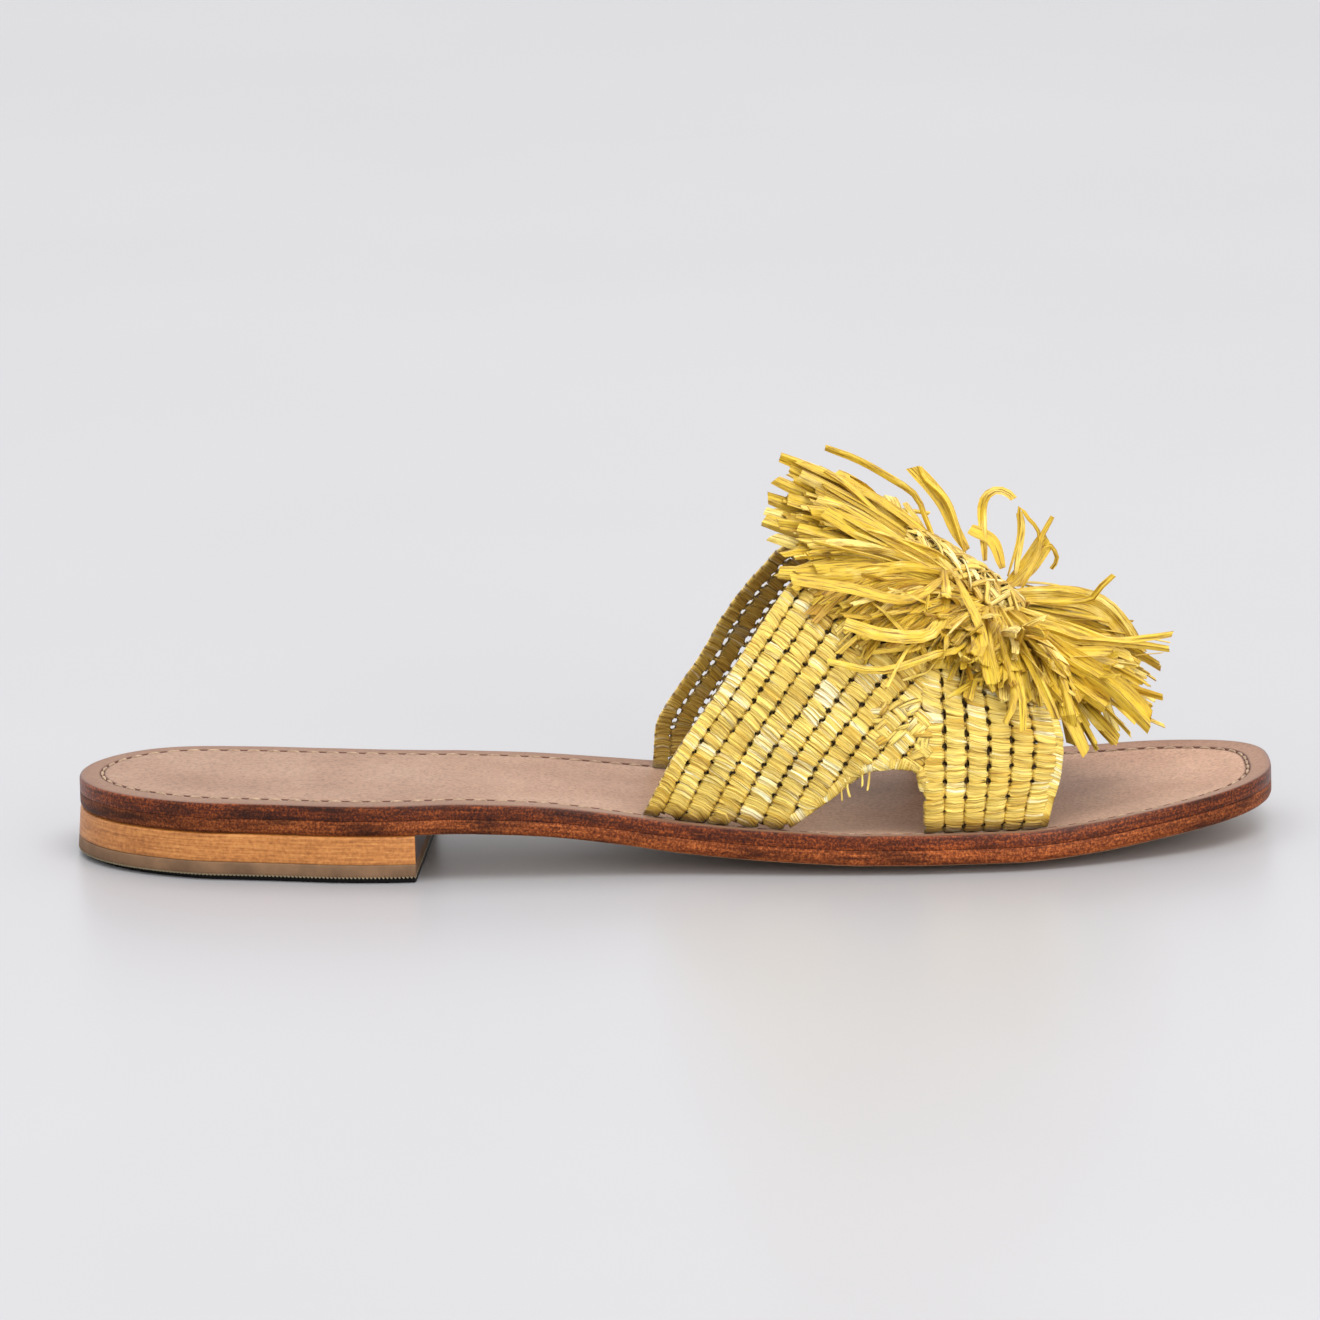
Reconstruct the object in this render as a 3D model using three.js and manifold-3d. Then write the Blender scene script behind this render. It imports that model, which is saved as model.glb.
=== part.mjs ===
// A right-foot slide mule: a flat leather sole with a low heel, a woven raffia vamp and a raffia pompom.
// Millimetres, +Z up. +X runs from heel to toe, -Y is the outer side of the foot, +Y the inner side.
// The origin is on the floor, under the middle of the sole. s is a distance along the shoe from its back.
import * as THREE from "three";
import { mergeVertices } from "three/addons/utils/BufferGeometryUtils.js";
import Module from "manifold-3d";

const wasm = await Module();
wasm.setup();

// Driving sizes
const LENGTH = 256.8;
const GAP = 0.3;
const OUTSOLE = 3.4;
const INSOLE = 3.0;
const SOLE = OUTSOLE + GAP + INSOLE;
const TOP_PIECE = 4.1;
const HEEL_SEAT = 10.1;
const HEEL_FLARE = 0.8;
const EDGE_BEVEL = 0.45;
const WALL = 1.7;
const ROW_RISE = 0.6;
const RIM_RISE = 0.8;

// The sole at stations s: its centre line, half width, height of its underside on the centre line,
// and how far its edges lift. The round ends below take the half width to nothing at heel and toe.
const SOLE_STATIONS = table("s mid half centre lift", [
  [0, 9.6, 28.8, HEEL_SEAT, 0],
  [14, 8.4, 28.8, HEEL_SEAT, 0],
  [30, 5.0, 28.8, HEEL_SEAT, 0],
  [42, 2.2, 29.1, HEEL_SEAT, 0],
  [55, -1.4, 29.2, HEEL_SEAT, 0],
  [68, -4.0, 28.5, HEEL_SEAT, 0],
  [80, -5.2, 27.4, HEEL_SEAT, 0],
  [90, -5.8, 27.2, 9.7, 0.05],
  [100, -6.0, 27.3, 8.9, 0.2],
  [115, -4.8, 28.6, 6.4, 0.7],
  [130, -3.2, 31.2, 3.55, 1.2],
  [145, -2.1, 34.5, 1.7, 1.6],
  [157, -1.3, 37.2, 0.65, 1.95],
  [168, -0.7, 39.1, 0, 2.1],
  [182, -0.2, 40.7, 0, 2.0],
  [200, 0.2, 41.0, 0, 2.0],
  [216, 1.4, 41.0, 0.75, 2.0],
  [230, 2.3, 41.0, 2.2, 1.9],
  [244, 2.7, 41.0, 4.3, 1.2],
  [257, 3.0, 41.0, 7.0, 0],
]);
const HEEL_END = { tip: HEEL_FLARE, from: 32, taper: 2, round: 2 };
const TOE_END = { tip: LENGTH, from: 200, taper: 1.5, round: 2.8 };
const FLAT_TREAD = 0.35;
const MID_TREAD = 0.7;
const LEAST_SHOULDER = 0.5;
const BREAST = { lateral: 72.6, medial: 77.5 };
const SOLE_STEPS = 36;
const HEEL_STEPS = 13;
const END_STEP = 0.03;

// The vamp at stations s: height of its ridge, and how square its arch is (2 is an ellipse)
const VAMP_STATIONS = table("s ridge square", [
  [112, 82.5, 2.1],
  [140, 74, 2.15],
  [163, 66.5, 2.3],
  [175, 60, 2.5],
  [190, 51, 2.8],
  [203, 44, 3.1],
  [215, 38.5, 3.3],
]);
const VAMP_INSET = 4;
const RIDGE_SKEW = 3;
const NORMAL_STEP = { s: 0.5, across: 0.02 };

// Edges of the vamp over the foot: across is -1 at the outer foot, 0 on the ridge, 1 at the inner foot
const BACK_EDGE = table("across s", [
  [-1, 121], [-0.86, 129], [-0.72, 138], [-0.49, 149.5], [-0.2, 160], [0, 163],
  [0.2, 160.5], [0.44, 151.8], [0.67, 139.6], [0.77, 134.8], [0.84, 130], [1, 124.7],
]);
const FRONT_EDGE = table("across s", [
  [-1, 206.8], [-0.88, 209.7], [-0.75, 210.4], [-0.6, 209], [-0.38, 206.8], [0, 203],
  [0.38, 205.5], [0.7, 208], [1, 205],
]);
const MITRE = 180.5;
const MITRE_OVERLAP = 1;

// Woven rows: their pitch along s on the flanks and on the ridge, and the rows in each band
const BACK_ROWS = { count: 8, flank: 6.1, ridge: 4.5, rim: 3, rimCrest: 1.5, flankFrom: 0.5 };
const FRONT_ROWS = 5;
const ROW_CREST = [0.22, 0.78];
const ACROSS_STEPS = 26;

// The side cut-out between the two bands, seen from the side: it starts at its back foot
const CUT_OUT = table("s z", [
  [150, 8], [151.9, 10.7], [159.7, 15.1], [163.4, 18], [166.6, 20.3], [169.8, 21.6], [174.3, 22],
  [178.9, 21.5], [180.3, 20], [180.9, 16], [180.9, 8],
]);

// The tuft: its tie along the ridge, its round core, the tips of its locks and of those that stand up
const TIE = { back: [178.5, 3, 63.4], middle: [191.5, 3, 57.2], front: [203, 3, 46.2], width: 9, thick: 2.2 };
const TIE_SECTION = { sides: [-1, -0.6, 0.6, 1], drop: 0.7, steps: 8 };
const TIE_HEADROOM = 3;
const CORE = { s: 189, y: 3, z: 54, long: 19, wide: 12, high: 8.5, pitch: 34, sides: 18, rings: 12 };
const LOCK = { count: 30, width: 9.5, thick: 2.4, steps: 4, bow: 7, clear: 2.4, ragged: 0.07 };
const LOCK_TAPER = { root: 0.6, widest: 0.7, tip: 0.5, thinTip: 0.5, bowAt: 0.45 };
const TUFT_RIM = table("s y z", [
  [149, 4, 74], [149, -10, 68], [151, -24, 58], [159, -31, 50], [174, -36, 43], [190, -38, 34],
  [206, -36, 29], [219, -29, 24], [230, -16, 26], [235, 2, 38], [230, 18, 34], [216, 33, 27],
  [198, 39, 32], [178, 37, 42], [160, 29, 55], [152, 16, 68],
]);
const TUFT_CREST = table("s y z", [
  [153, 6, 82], [162, 8, 84.5], [180, 10, 79], [196, 11, 72], [205, 11, 68], [212, 11, 65], [224, 11, 53],
]);
const TUFT_REACH = { back: 149, front: 235, tieBack: 0.05, tieFront: 0.95 };
const CREST_WIDTH = 5.5;
const CREST_BOW = 1.5;
const VAMP_ROOM = { depth: 7, beyond: 1, parts: [0, 0.25, 0.5, 0.75, 1] };

// Tables and curves

// Gives each row of a table its columns' names.
function table(names, rows) {
  const keys = names.split(" ");
  return rows.map((row) => Object.fromEntries(keys.map((key, i) => [key, row[i]])));
}

// A smooth curve through one column of a table, level wherever its rows are level.
function column(rows, key, name) {
  const x = rows.map((row) => row[key]);
  const y = rows.map((row) => row[name]);
  const last = x.length - 1;
  const rise = (i) => (y[i + 1] - y[i]) / (x[i + 1] - x[i]);
  const slope = x.map((_, i) => {
    if (i === 0 || i === last) {
      return rise(i === 0 ? 0 : last - 1);
    }
    const before = rise(i - 1);
    const after = rise(i);
    return before * after > 0 ? (2 * before * after) / (before + after) : 0;
  });
  return (at) => {
    const i = x.slice(1, last).filter((value) => value < at).length;
    const width = x[i + 1] - x[i];
    const t = (at - x[i]) / width;
    if (t < 0 || t > 1) {
      const end = t < 0 ? i : i + 1;
      return y[end] + slope[end] * (at - x[end]);
    }
    const a = y[i] * (1 + 2 * t) * (1 - t) ** 2 + slope[i] * width * t * (1 - t) ** 2;
    const b = y[i + 1] * t * t * (3 - 2 * t) - slope[i + 1] * width * t * t * (1 - t);
    return a + b;
  };
}

const lerp = THREE.MathUtils.lerp;
const range = (count) => Array.from({ length: count }, (_, i) => i);
const place = (s, y, z) => new THREE.Vector3(s - LENGTH / 2, y, z);

// Solids

// A closed slab between two grids of points that have the same rows and columns.
function slab(lower, upper) {
  const rows = lower.length;
  const columns = lower[0].length;
  const points = [...lower.flat(), ...upper.flat()];
  const low = (i, j) => i * columns + j;
  const high = (i, j) => rows * columns + i * columns + j;
  const faces = [];
  const quad = (a, b, c, d) => faces.push(a, b, c, a, c, d);
  for (let i = 0; i + 1 < rows; i += 1) {
    for (let j = 0; j + 1 < columns; j += 1) {
      quad(high(i, j), high(i + 1, j), high(i + 1, j + 1), high(i, j + 1));
      quad(low(i, j), low(i, j + 1), low(i + 1, j + 1), low(i + 1, j));
    }
    quad(low(i, 0), low(i + 1, 0), high(i + 1, 0), high(i, 0));
    quad(low(i + 1, columns - 1), low(i, columns - 1), high(i, columns - 1), high(i + 1, columns - 1));
  }
  for (let j = 0; j + 1 < columns; j += 1) {
    quad(low(0, j + 1), low(0, j), high(0, j), high(0, j + 1));
    quad(low(rows - 1, j), low(rows - 1, j + 1), high(rows - 1, j + 1), high(rows - 1, j));
  }
  return facingOut(points, faces);
}

// A closed prism between two outlines that have the same points in the same order.
function prism(lower, upper) {
  const count = lower.length;
  const flat = lower.map((point) => new THREE.Vector2(point.x, point.y));
  const caps = THREE.ShapeUtils.triangulateShape(flat, []);
  const turn = THREE.ShapeUtils.area(flat);
  const faces = [];
  for (const cap of caps) {
    const alike = THREE.ShapeUtils.area(cap.map((i) => flat[i])) * turn > 0;
    const [a, b, c] = alike ? cap : cap.toReversed();
    faces.push(c, b, a, a + count, b + count, c + count);
  }
  for (let i = 0; i < count; i += 1) {
    const next = (i + 1) % count;
    faces.push(i, next, next + count, i, next + count, i + count);
  }
  return facingOut([...lower, ...upper], faces);
}

// A geometry from points and triangles, turned so that its faces point out.
function facingOut(points, faces) {
  let volume = 0;
  for (let i = 0; i < faces.length; i += 3) {
    const [a, b, c] = [points[faces[i]], points[faces[i + 1]], points[faces[i + 2]]];
    volume += a.dot(b.clone().cross(c));
  }
  const geometry = new THREE.BufferGeometry().setFromPoints(points);
  geometry.setIndex(volume > 0 ? faces : faces.toReversed());
  return geometry;
}

// A geometry as a solid that can be joined and cut.
function solid(geometry) {
  const bare = geometry.clone();
  bare.deleteAttribute("normal");
  bare.deleteAttribute("uv");
  const merged = mergeVertices(bare, 1e-4);
  const mesh = new wasm.Mesh({
    numProp: 3,
    vertProperties: new Float32Array(merged.attributes.position.array),
    triVerts: new Uint32Array(merged.index.array),
  });
  return new wasm.Manifold(mesh);
}

// The geometry of a solid.
function surface(body) {
  const mesh = body.getMesh();
  const geometry = new THREE.BufferGeometry();
  geometry.setAttribute("position", new THREE.BufferAttribute(mesh.vertProperties, 3));
  geometry.setIndex(new THREE.BufferAttribute(mesh.triVerts, 1));
  geometry.computeVertexNormals();
  return geometry;
}

// The largest of the separate bodies of a solid.
function largest(body) {
  return body.decompose().reduce((best, piece) => (piece.volume() > best.volume() ? piece : best));
}

function piece(name, geometry, color, roughness) {
  const material = new THREE.MeshStandardMaterial({ color, roughness, metalness: 0 });
  const mesh = new THREE.Mesh(geometry, material);
  mesh.name = name;
  return mesh;
}

// Sole

const soleMid = column(SOLE_STATIONS, "s", "mid");
const soleWidest = column(SOLE_STATIONS, "s", "half");
const soleCentre = column(SOLE_STATIONS, "s", "centre");
const soleLift = column(SOLE_STATIONS, "s", "lift");

// How much of its width the sole keeps at s, near a round end.
function endTaper(end, s) {
  const t = THREE.MathUtils.clamp((s - end.from) / (end.tip - end.from), 0, 1);
  return (1 - t ** end.taper) ** (1 / end.round);
}

const soleHalf = (s) => soleWidest(s) * endTaper(HEEL_END, s) * endTaper(TOE_END, s);

// Height of the sole's underside at s. Side runs from -1 at the outer edge to 1 at the inner edge.
function soleUnderside(s, side) {
  const out = Math.max(0, (Math.abs(side) - FLAT_TREAD) / (1 - FLAT_TREAD));
  return soleCentre(s) + soleLift(s) * out ** 2;
}

// One layer of the sole, between two heights above its underside, with bevelled edges.
function soleLayer(bottom, top) {
  const first = HEEL_FLARE + END_STEP;
  const last = LENGTH - END_STEP;
  const stations = range(SOLE_STEPS + 1).map((i) =>
    lerp(first, last, (1 - Math.cos((Math.PI * i) / SOLE_STEPS)) / 2),
  );
  const grid = (height, bevel) =>
    stations.map((s) => {
      const half = soleHalf(s);
      const shoulder = Math.max(LEAST_SHOULDER, 1 - EDGE_BEVEL / half);
      const sides = [-1, -shoulder, -MID_TREAD * shoulder, -FLAT_TREAD];
      const all = [...sides, ...sides.map((side) => -side).reverse()];
      return all.map((side) => {
        const edge = Math.abs(side) === 1 ? bevel : 0;
        return place(s, soleMid(s) + side * half, soleUnderside(s, side) + height + edge);
      });
    });
  return slab(grid(bottom, EDGE_BEVEL), grid(top, -EDGE_BEVEL));
}

// One layer of the heel: the sole's outline back of the breast, flared towards the floor.
function heelLayer(bottom, top) {
  const ring = (z) => {
    const flare = HEEL_FLARE * (1 - z / HEEL_SEAT);
    const edge = (side, breast) =>
      range(HEEL_STEPS + 1).map((i) => {
        const s = lerp(breast, HEEL_FLARE + END_STEP, Math.cos((Math.PI * i) / (2 * HEEL_STEPS)));
        const back = breast - (breast - s) * (1 + flare / breast);
        const half = soleHalf(s) + flare / 2;
        return place(back, soleMid(s) + side * half, z);
      });
    return [...edge(-1, BREAST.lateral).reverse(), ...edge(1, BREAST.medial)];
  };
  return prism(ring(bottom), ring(top));
}

// Vamp

const vampRidge = column(VAMP_STATIONS, "s", "ridge");
const vampSquare = column(VAMP_STATIONS, "s", "square");
const backEdge = column(BACK_EDGE, "across", "s");
const frontEdge = column(FRONT_EDGE, "across", "s");

// The arch of the vamp at s: its middle, half width, foot height, rise and squareness.
function vampArch(s) {
  const half = soleHalf(s) - VAMP_INSET;
  const foot = soleUnderside(s, half / soleHalf(s)) + SOLE + GAP;
  return { mid: soleMid(s), half, foot, rise: vampRidge(s) - foot, square: vampSquare(s) };
}

// A point of the vamp's wall, between its rows.
function vampPoint(s, across) {
  const arch = vampArch(s);
  const angle = ((1 + across) * Math.PI) / 2;
  const side = -Math.cos(angle);
  const up = Math.max(0, Math.sin(angle));
  const y = arch.mid + Math.sign(side) * arch.half * Math.abs(side) ** (2 / arch.square) + RIDGE_SKEW * up;
  return place(s, y, arch.foot + arch.rise * up ** (2 / arch.square));
}

// The way out of the vamp's wall at a point. At the feet it is level.
function vampOut(s, across) {
  const step = NORMAL_STEP;
  const inside = THREE.MathUtils.clamp(across, step.across - 1, 1 - step.across);
  const along = vampPoint(s + step.s, inside).sub(vampPoint(s - step.s, inside));
  const over = vampPoint(s, inside + step.across).sub(vampPoint(s, inside - step.across));
  const out = along.cross(over);
  if (Math.abs(across) === 1) {
    out.z = 0;
  }
  return out.normalize();
}

// The wall of a band of the vamp. A lane gives s at a place across the foot, and the wall's rise there.
function band(lanes) {
  const grid = (offset) =>
    range(ACROSS_STEPS + 1).map((i) => {
      const across = -1 + (2 * i) / ACROSS_STEPS;
      return lanes.map((lane) => {
        const s = lane.s(across);
        return vampPoint(s, across).addScaledVector(vampOut(s, across), offset(lane));
      });
    });
  return slab(grid(() => -WALL), grid((lane) => lane.rise));
}

// Lanes of rows side by side: a groove, then the two edges of a raised crest, for each row.
function rowLanes(count, at) {
  const lanes = range(count).flatMap((row) => [
    { s: at(row), rise: 0 },
    ...ROW_CREST.map((part) => ({ s: at(row + part), rise: ROW_RISE })),
  ]);
  return [...lanes, { s: at(count), rise: 0 }];
}

function makeUpper() {
  const rowPitch = (across) =>
    lerp(BACK_ROWS.ridge, BACK_ROWS.flank, Math.min(1, Math.abs(across) / BACK_ROWS.flankFrom));
  const backRow = (row) => (across) => backEdge(across) + BACK_ROWS.rim + row * rowPitch(across);
  const backRim = [
    { s: backEdge, rise: RIM_RISE / 2 },
    { s: (across) => backEdge(across) + BACK_ROWS.rimCrest, rise: RIM_RISE },
  ];
  const frontRow = (row) => (across) => lerp(MITRE, frontEdge(across), row / FRONT_ROWS);
  const back = solid(band([...backRim, ...rowLanes(BACK_ROWS.count, backRow)]));
  const front = solid(band(rowLanes(FRONT_ROWS, frontRow)));
  const beyond = new THREE.BoxGeometry(LENGTH, LENGTH, LENGTH);
  beyond.translate(MITRE + MITRE_OVERLAP, 0, 0);
  const outline = CUT_OUT.map((row) => new THREE.Vector2(row.s - LENGTH / 2, row.z));
  const opening = new THREE.ExtrudeGeometry(new THREE.Shape(outline), { depth: LENGTH, bevelEnabled: false });
  opening.translate(0, 0, -LENGTH / 2);
  opening.rotateX(Math.PI / 2);
  return back.subtract(solid(beyond)).add(front).subtract(solid(opening));
}

// Tuft

const tieCurve = new THREE.QuadraticBezierCurve3(
  place(...TIE.back),
  place(...TIE.middle),
  place(...TIE.front),
);

// The way up from the tie: square to it, in the plane of the ridge.
function tieUp(along) {
  const tangent = tieCurve.getTangent(THREE.MathUtils.clamp(along, 0, 1));
  return new THREE.Vector3(-tangent.z, 0, tangent.x);
}

// The tie, or with a margin the room that it needs above the tuft.
function tieSlab(margin, headroom) {
  const half = TIE.width / 2 + margin;
  const extra = margin / tieCurve.getLength();
  const grid = (height) =>
    range(TIE_SECTION.steps + 1).map((i) => {
      const along = lerp(-extra, 1 + extra, i / TIE_SECTION.steps);
      const middle = tieCurve.getPoint(along);
      const up = tieUp(along);
      return TIE_SECTION.sides.map((side) => {
        const drop = Math.abs(side) === 1 ? TIE_SECTION.drop : 0;
        return middle.clone().addScaledVector(up, height - drop).add(new THREE.Vector3(0, side * half, 0));
      });
    });
  return slab(grid(-margin), grid(TIE.thick + headroom));
}

// Moves a point out of the vamp's arch, to stand a distance clear of it.
function clearOfVamp(point, distance) {
  const s = point.x + LENGTH / 2;
  const arch = vampArch(s);
  const y = (point.y - arch.mid - RIDGE_SKEW / 2) / (arch.half + distance);
  const z = Math.max(0, point.z - arch.foot) / (arch.rise + distance);
  const reach = (Math.abs(y) ** arch.square + z ** arch.square) ** (1 / arch.square);
  const beyondBack = s < TUFT_REACH.back;
  const beyondFront = s > FRONT_EDGE[0].s + distance;
  if (reach < 1 && !beyondBack && !beyondFront) {
    const middle = place(s, arch.mid + RIDGE_SKEW / 2, arch.foot);
    point.sub(middle);
    point.y /= reach;
    point.z /= reach;
    point.add(middle);
  }
  return point;
}

// How wide a lock is at a part of its length, against its widest place.
function lockWidth(t) {
  const { root, widest, tip } = LOCK_TAPER;
  return t < widest ? lerp(root, 1, t / widest) : lerp(1, tip, (t - widest) / (1 - widest));
}

// One flat lock from the tie to its tip, bowed upwards by an arch and kept clear of the vamp.
function lock(root, tip, width, arch) {
  const bow = root.clone().lerp(tip, LOCK_TAPER.bowAt);
  bow.z += arch;
  const path = new THREE.QuadraticBezierCurve3(root, bow, tip);
  const rows = range(LOCK.steps + 1).map((i) => {
    const t = i / LOCK.steps;
    const centre = clearOfVamp(path.getPoint(t), LOCK.clear);
    const ahead = path.getTangent(t);
    const out = new THREE.Vector3(0, centre.y / vampArch(CORE.s).half, 1);
    const across = ahead.clone().cross(out).normalize();
    const up = across.clone().cross(ahead).normalize();
    const spread = (width / 2) * lockWidth(t);
    const half = (LOCK.thick / 2) * lerp(1, LOCK_TAPER.thinTip, t);
    const corner = (side, height) =>
      centre.clone().addScaledVector(across, side).addScaledVector(up, height);
    return [-half, half].map((height) => [corner(-spread, height), corner(spread, height)]);
  });
  return slab(rows.map((row) => row[0]), rows.map((row) => row[1]));
}

// Where a lock leaves the side of the tie, for its tip.
function lockRoot(tip) {
  const { back, front, tieBack, tieFront } = TUFT_REACH;
  const along = THREE.MathUtils.mapLinear(tip.x + LENGTH / 2, back, front, tieBack, tieFront);
  const root = tieCurve.getPoint(along);
  root.y += Math.sign(tip.y - TIE.middle[1]) * (TIE.width / 2 + GAP);
  root.z -= LOCK.thick;
  return root;
}

// The room that the vamp's wall takes up, with a gap over its rows.
function vampRoom() {
  const grid = (height) =>
    range(ACROSS_STEPS + 1).map((i) => {
      const across = -1 + (2 * i) / ACROSS_STEPS;
      return VAMP_ROOM.parts.map((part) => {
        const s = lerp(backEdge(across) - VAMP_ROOM.beyond, frontEdge(across) + VAMP_ROOM.beyond, part);
        return vampPoint(s, across).addScaledVector(vampOut(s, across), height);
      });
    });
  return slab(grid(-VAMP_ROOM.depth), grid(RIM_RISE + GAP));
}

function makePompom() {
  const core = new THREE.SphereGeometry(1, CORE.sides, CORE.rings);
  core.scale(CORE.long, CORE.wide, CORE.high);
  core.rotateY(THREE.MathUtils.degToRad(CORE.pitch));
  core.translate(...place(CORE.s, CORE.y, CORE.z));
  let tuft = solid(core);
  const rim = new THREE.CatmullRomCurve3(TUFT_RIM.map((row) => place(row.s, row.y, row.z)), true);
  for (const i of range(LOCK.count)) {
    const tip = rim.getPoint(i / LOCK.count);
    const root = lockRoot(tip);
    tip.lerp(root, LOCK.ragged * (i % 3));
    tuft = tuft.add(solid(lock(root, tip, LOCK.width, LOCK.bow)));
  }
  for (const row of TUFT_CREST) {
    const tip = place(row.s, row.y, row.z);
    tuft = tuft.add(solid(lock(lockRoot(tip), tip, CREST_WIDTH, CREST_BOW)));
  }
  return largest(tuft.subtract(solid(vampRoom())).subtract(solid(tieSlab(GAP, TIE_HEADROOM))));
}

// Assembly

const mule = new THREE.Group();
mule.add(
  piece("insole", soleLayer(OUTSOLE + GAP, SOLE), 0xc8aa96, 0.6),
  piece("outsole", soleLayer(0, OUTSOLE), 0x7a4628, 0.5),
  piece("heel_lift", heelLayer(TOP_PIECE + GAP, HEEL_SEAT - GAP), 0xbe8246, 0.5),
  piece("heel_top_piece", heelLayer(0, TOP_PIECE), 0x786450, 0.85),
  piece("upper", surface(makeUpper()), 0xe0bc3c, 0.7),
  piece("pompom", surface(makePompom()), 0xe6c43c, 0.7),
  piece("pompom_tie", tieSlab(0, 0), 0xd8b450, 0.7),
);

export default mule;
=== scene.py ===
"""Looks of a right-foot slide mule: leather sole, woven raffia vamp and a raffia pompom.

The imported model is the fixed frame. Every size below is in millimetres, in the frame's own axes:
+X runs from heel to toe, -Y is the outer side of the foot, +Z is up, and the origin is on the floor.
s is a distance along the shoe from its back. Meshes are made in metres.
"""

import math

import bpy
import numpy as np
from mathutils import Matrix


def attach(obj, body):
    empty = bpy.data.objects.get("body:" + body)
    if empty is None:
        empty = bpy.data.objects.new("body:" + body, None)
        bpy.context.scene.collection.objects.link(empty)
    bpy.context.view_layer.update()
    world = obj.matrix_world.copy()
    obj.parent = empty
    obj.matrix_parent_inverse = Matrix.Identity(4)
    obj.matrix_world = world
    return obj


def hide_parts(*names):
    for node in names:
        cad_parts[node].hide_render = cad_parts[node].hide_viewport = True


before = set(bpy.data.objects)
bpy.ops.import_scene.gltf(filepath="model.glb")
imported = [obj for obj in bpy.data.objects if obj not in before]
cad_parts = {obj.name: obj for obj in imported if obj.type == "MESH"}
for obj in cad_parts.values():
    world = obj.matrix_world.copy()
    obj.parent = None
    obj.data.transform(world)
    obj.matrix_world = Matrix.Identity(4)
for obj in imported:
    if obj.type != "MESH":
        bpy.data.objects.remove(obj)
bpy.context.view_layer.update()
rng = np.random.default_rng(7)

MM = 0.001
BODY = "root"

# Driving sizes of the part
LENGTH = 256.8
SOLE = 6.7
HEEL_SEAT = 10.1
HEEL_FLARE = 0.8

# The sole at stations s: its centre line, half width, height of its underside, and lift of its edges
SOLE_STATIONS = np.array([
    [0, 9.6, 28.8, 10.1, 0], [14, 8.4, 28.8, 10.1, 0], [30, 5.0, 28.8, 10.1, 0], [42, 2.2, 29.1, 10.1, 0],
    [55, -1.4, 29.2, 10.1, 0], [68, -4.0, 28.5, 10.1, 0], [80, -5.2, 27.4, 10.1, 0],
    [90, -5.8, 27.2, 9.7, 0.05], [100, -6.0, 27.3, 8.9, 0.2], [115, -4.8, 28.6, 6.4, 0.7],
    [130, -3.2, 31.2, 3.55, 1.2], [145, -2.1, 34.5, 1.7, 1.6], [157, -1.3, 37.2, 0.65, 1.95],
    [168, -0.7, 39.1, 0, 2.1], [182, -0.2, 40.7, 0, 2.0], [200, 0.2, 41.0, 0, 2.0],
    [216, 1.4, 41.0, 0.75, 2.0], [230, 2.3, 41.0, 2.2, 1.9], [244, 2.7, 41.0, 4.3, 1.2],
    [257, 3.0, 41.0, 7.0, 0],
])
HEEL_END = {"tip": HEEL_FLARE, "from": 32, "taper": 2, "round": 2}
TOE_END = {"tip": LENGTH, "from": 200, "taper": 1.5, "round": 2.8}
FLAT_TREAD = 0.35
BREAST = {"lateral": 72.6, "medial": 77.5}

# Layers of the sole: distance in from the outline, and height over the sole's underside
RIM_STATIONS = 260
FILL_COLUMNS = 12
FILL_INSET = 20.0
GROOVE_INSET = 4.95
INSOLE_PROFILE = [
    (8, 3.41), (0.2, 3.41), (0.04, 3.45), (0, 3.54), (0, 4.5), (0, 5.8), (0.05, 6.16), (0.22, 6.47),
    (0.5, 6.64), (0.9, 6.7), (1.6, 6.7), (3, 6.7), (4.3, 6.7), (4.55, 6.64), (4.72, 6.36), (GROOVE_INSET, 6.2),
    (5.18, 6.36), (5.35, 6.64), (5.6, 6.7), (8, 6.7),
]
OUTSOLE_PROFILE = [
    (8, 0), (1.6, 0), (0.8, 0.1), (0.28, 0.4), (0.02, 0.95), (0, 1.6), (0, 2.6), (0, 3.26), (0.04, 3.35),
    (0.2, 3.39), (8, 3.39),
]
THREAD = {"pitch": 4.4, "length": 3.3, "radius": 0.36, "height": 6.4, "bow": 0.18}

# Layers of the heel: growth of the outline and height over the floor, then rise and inset of notched rings
HEEL_POINTS = 430
HEEL_BREAST_POINTS = 60
HEEL_LIFT_PROFILE = [(-0.25, 4.12), (-0.02, 4.25), (0, 4.6), (0, 9.5), (-0.05, 9.85), (-0.3, 10.05)]
RUBBER_PROFILE = [
    (-2.6, 0), (-2.0, 0.1), (-1.6, 1.1), (-0.2, 1.1), (0, 1.25), (0, 1.6), (0, 3.7), (-0.02, 3.95), (-0.2, 4.1),
]
RUBBER_TREAD = {3: (0.5, 0.25), 4: (0.5, 0.4), 5: (0.2, 0.1)}

# The vamp at stations s: height of its ridge, and how square its arch is
VAMP_STATIONS = np.array([
    [112, 82.5, 2.1], [140, 74, 2.15], [163, 66.5, 2.3], [175, 60, 2.5], [190, 51, 2.8], [203, 44, 3.1],
    [215, 38.5, 3.3],
])
VAMP_INSET = 4
RIDGE_SKEW = 3

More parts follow.
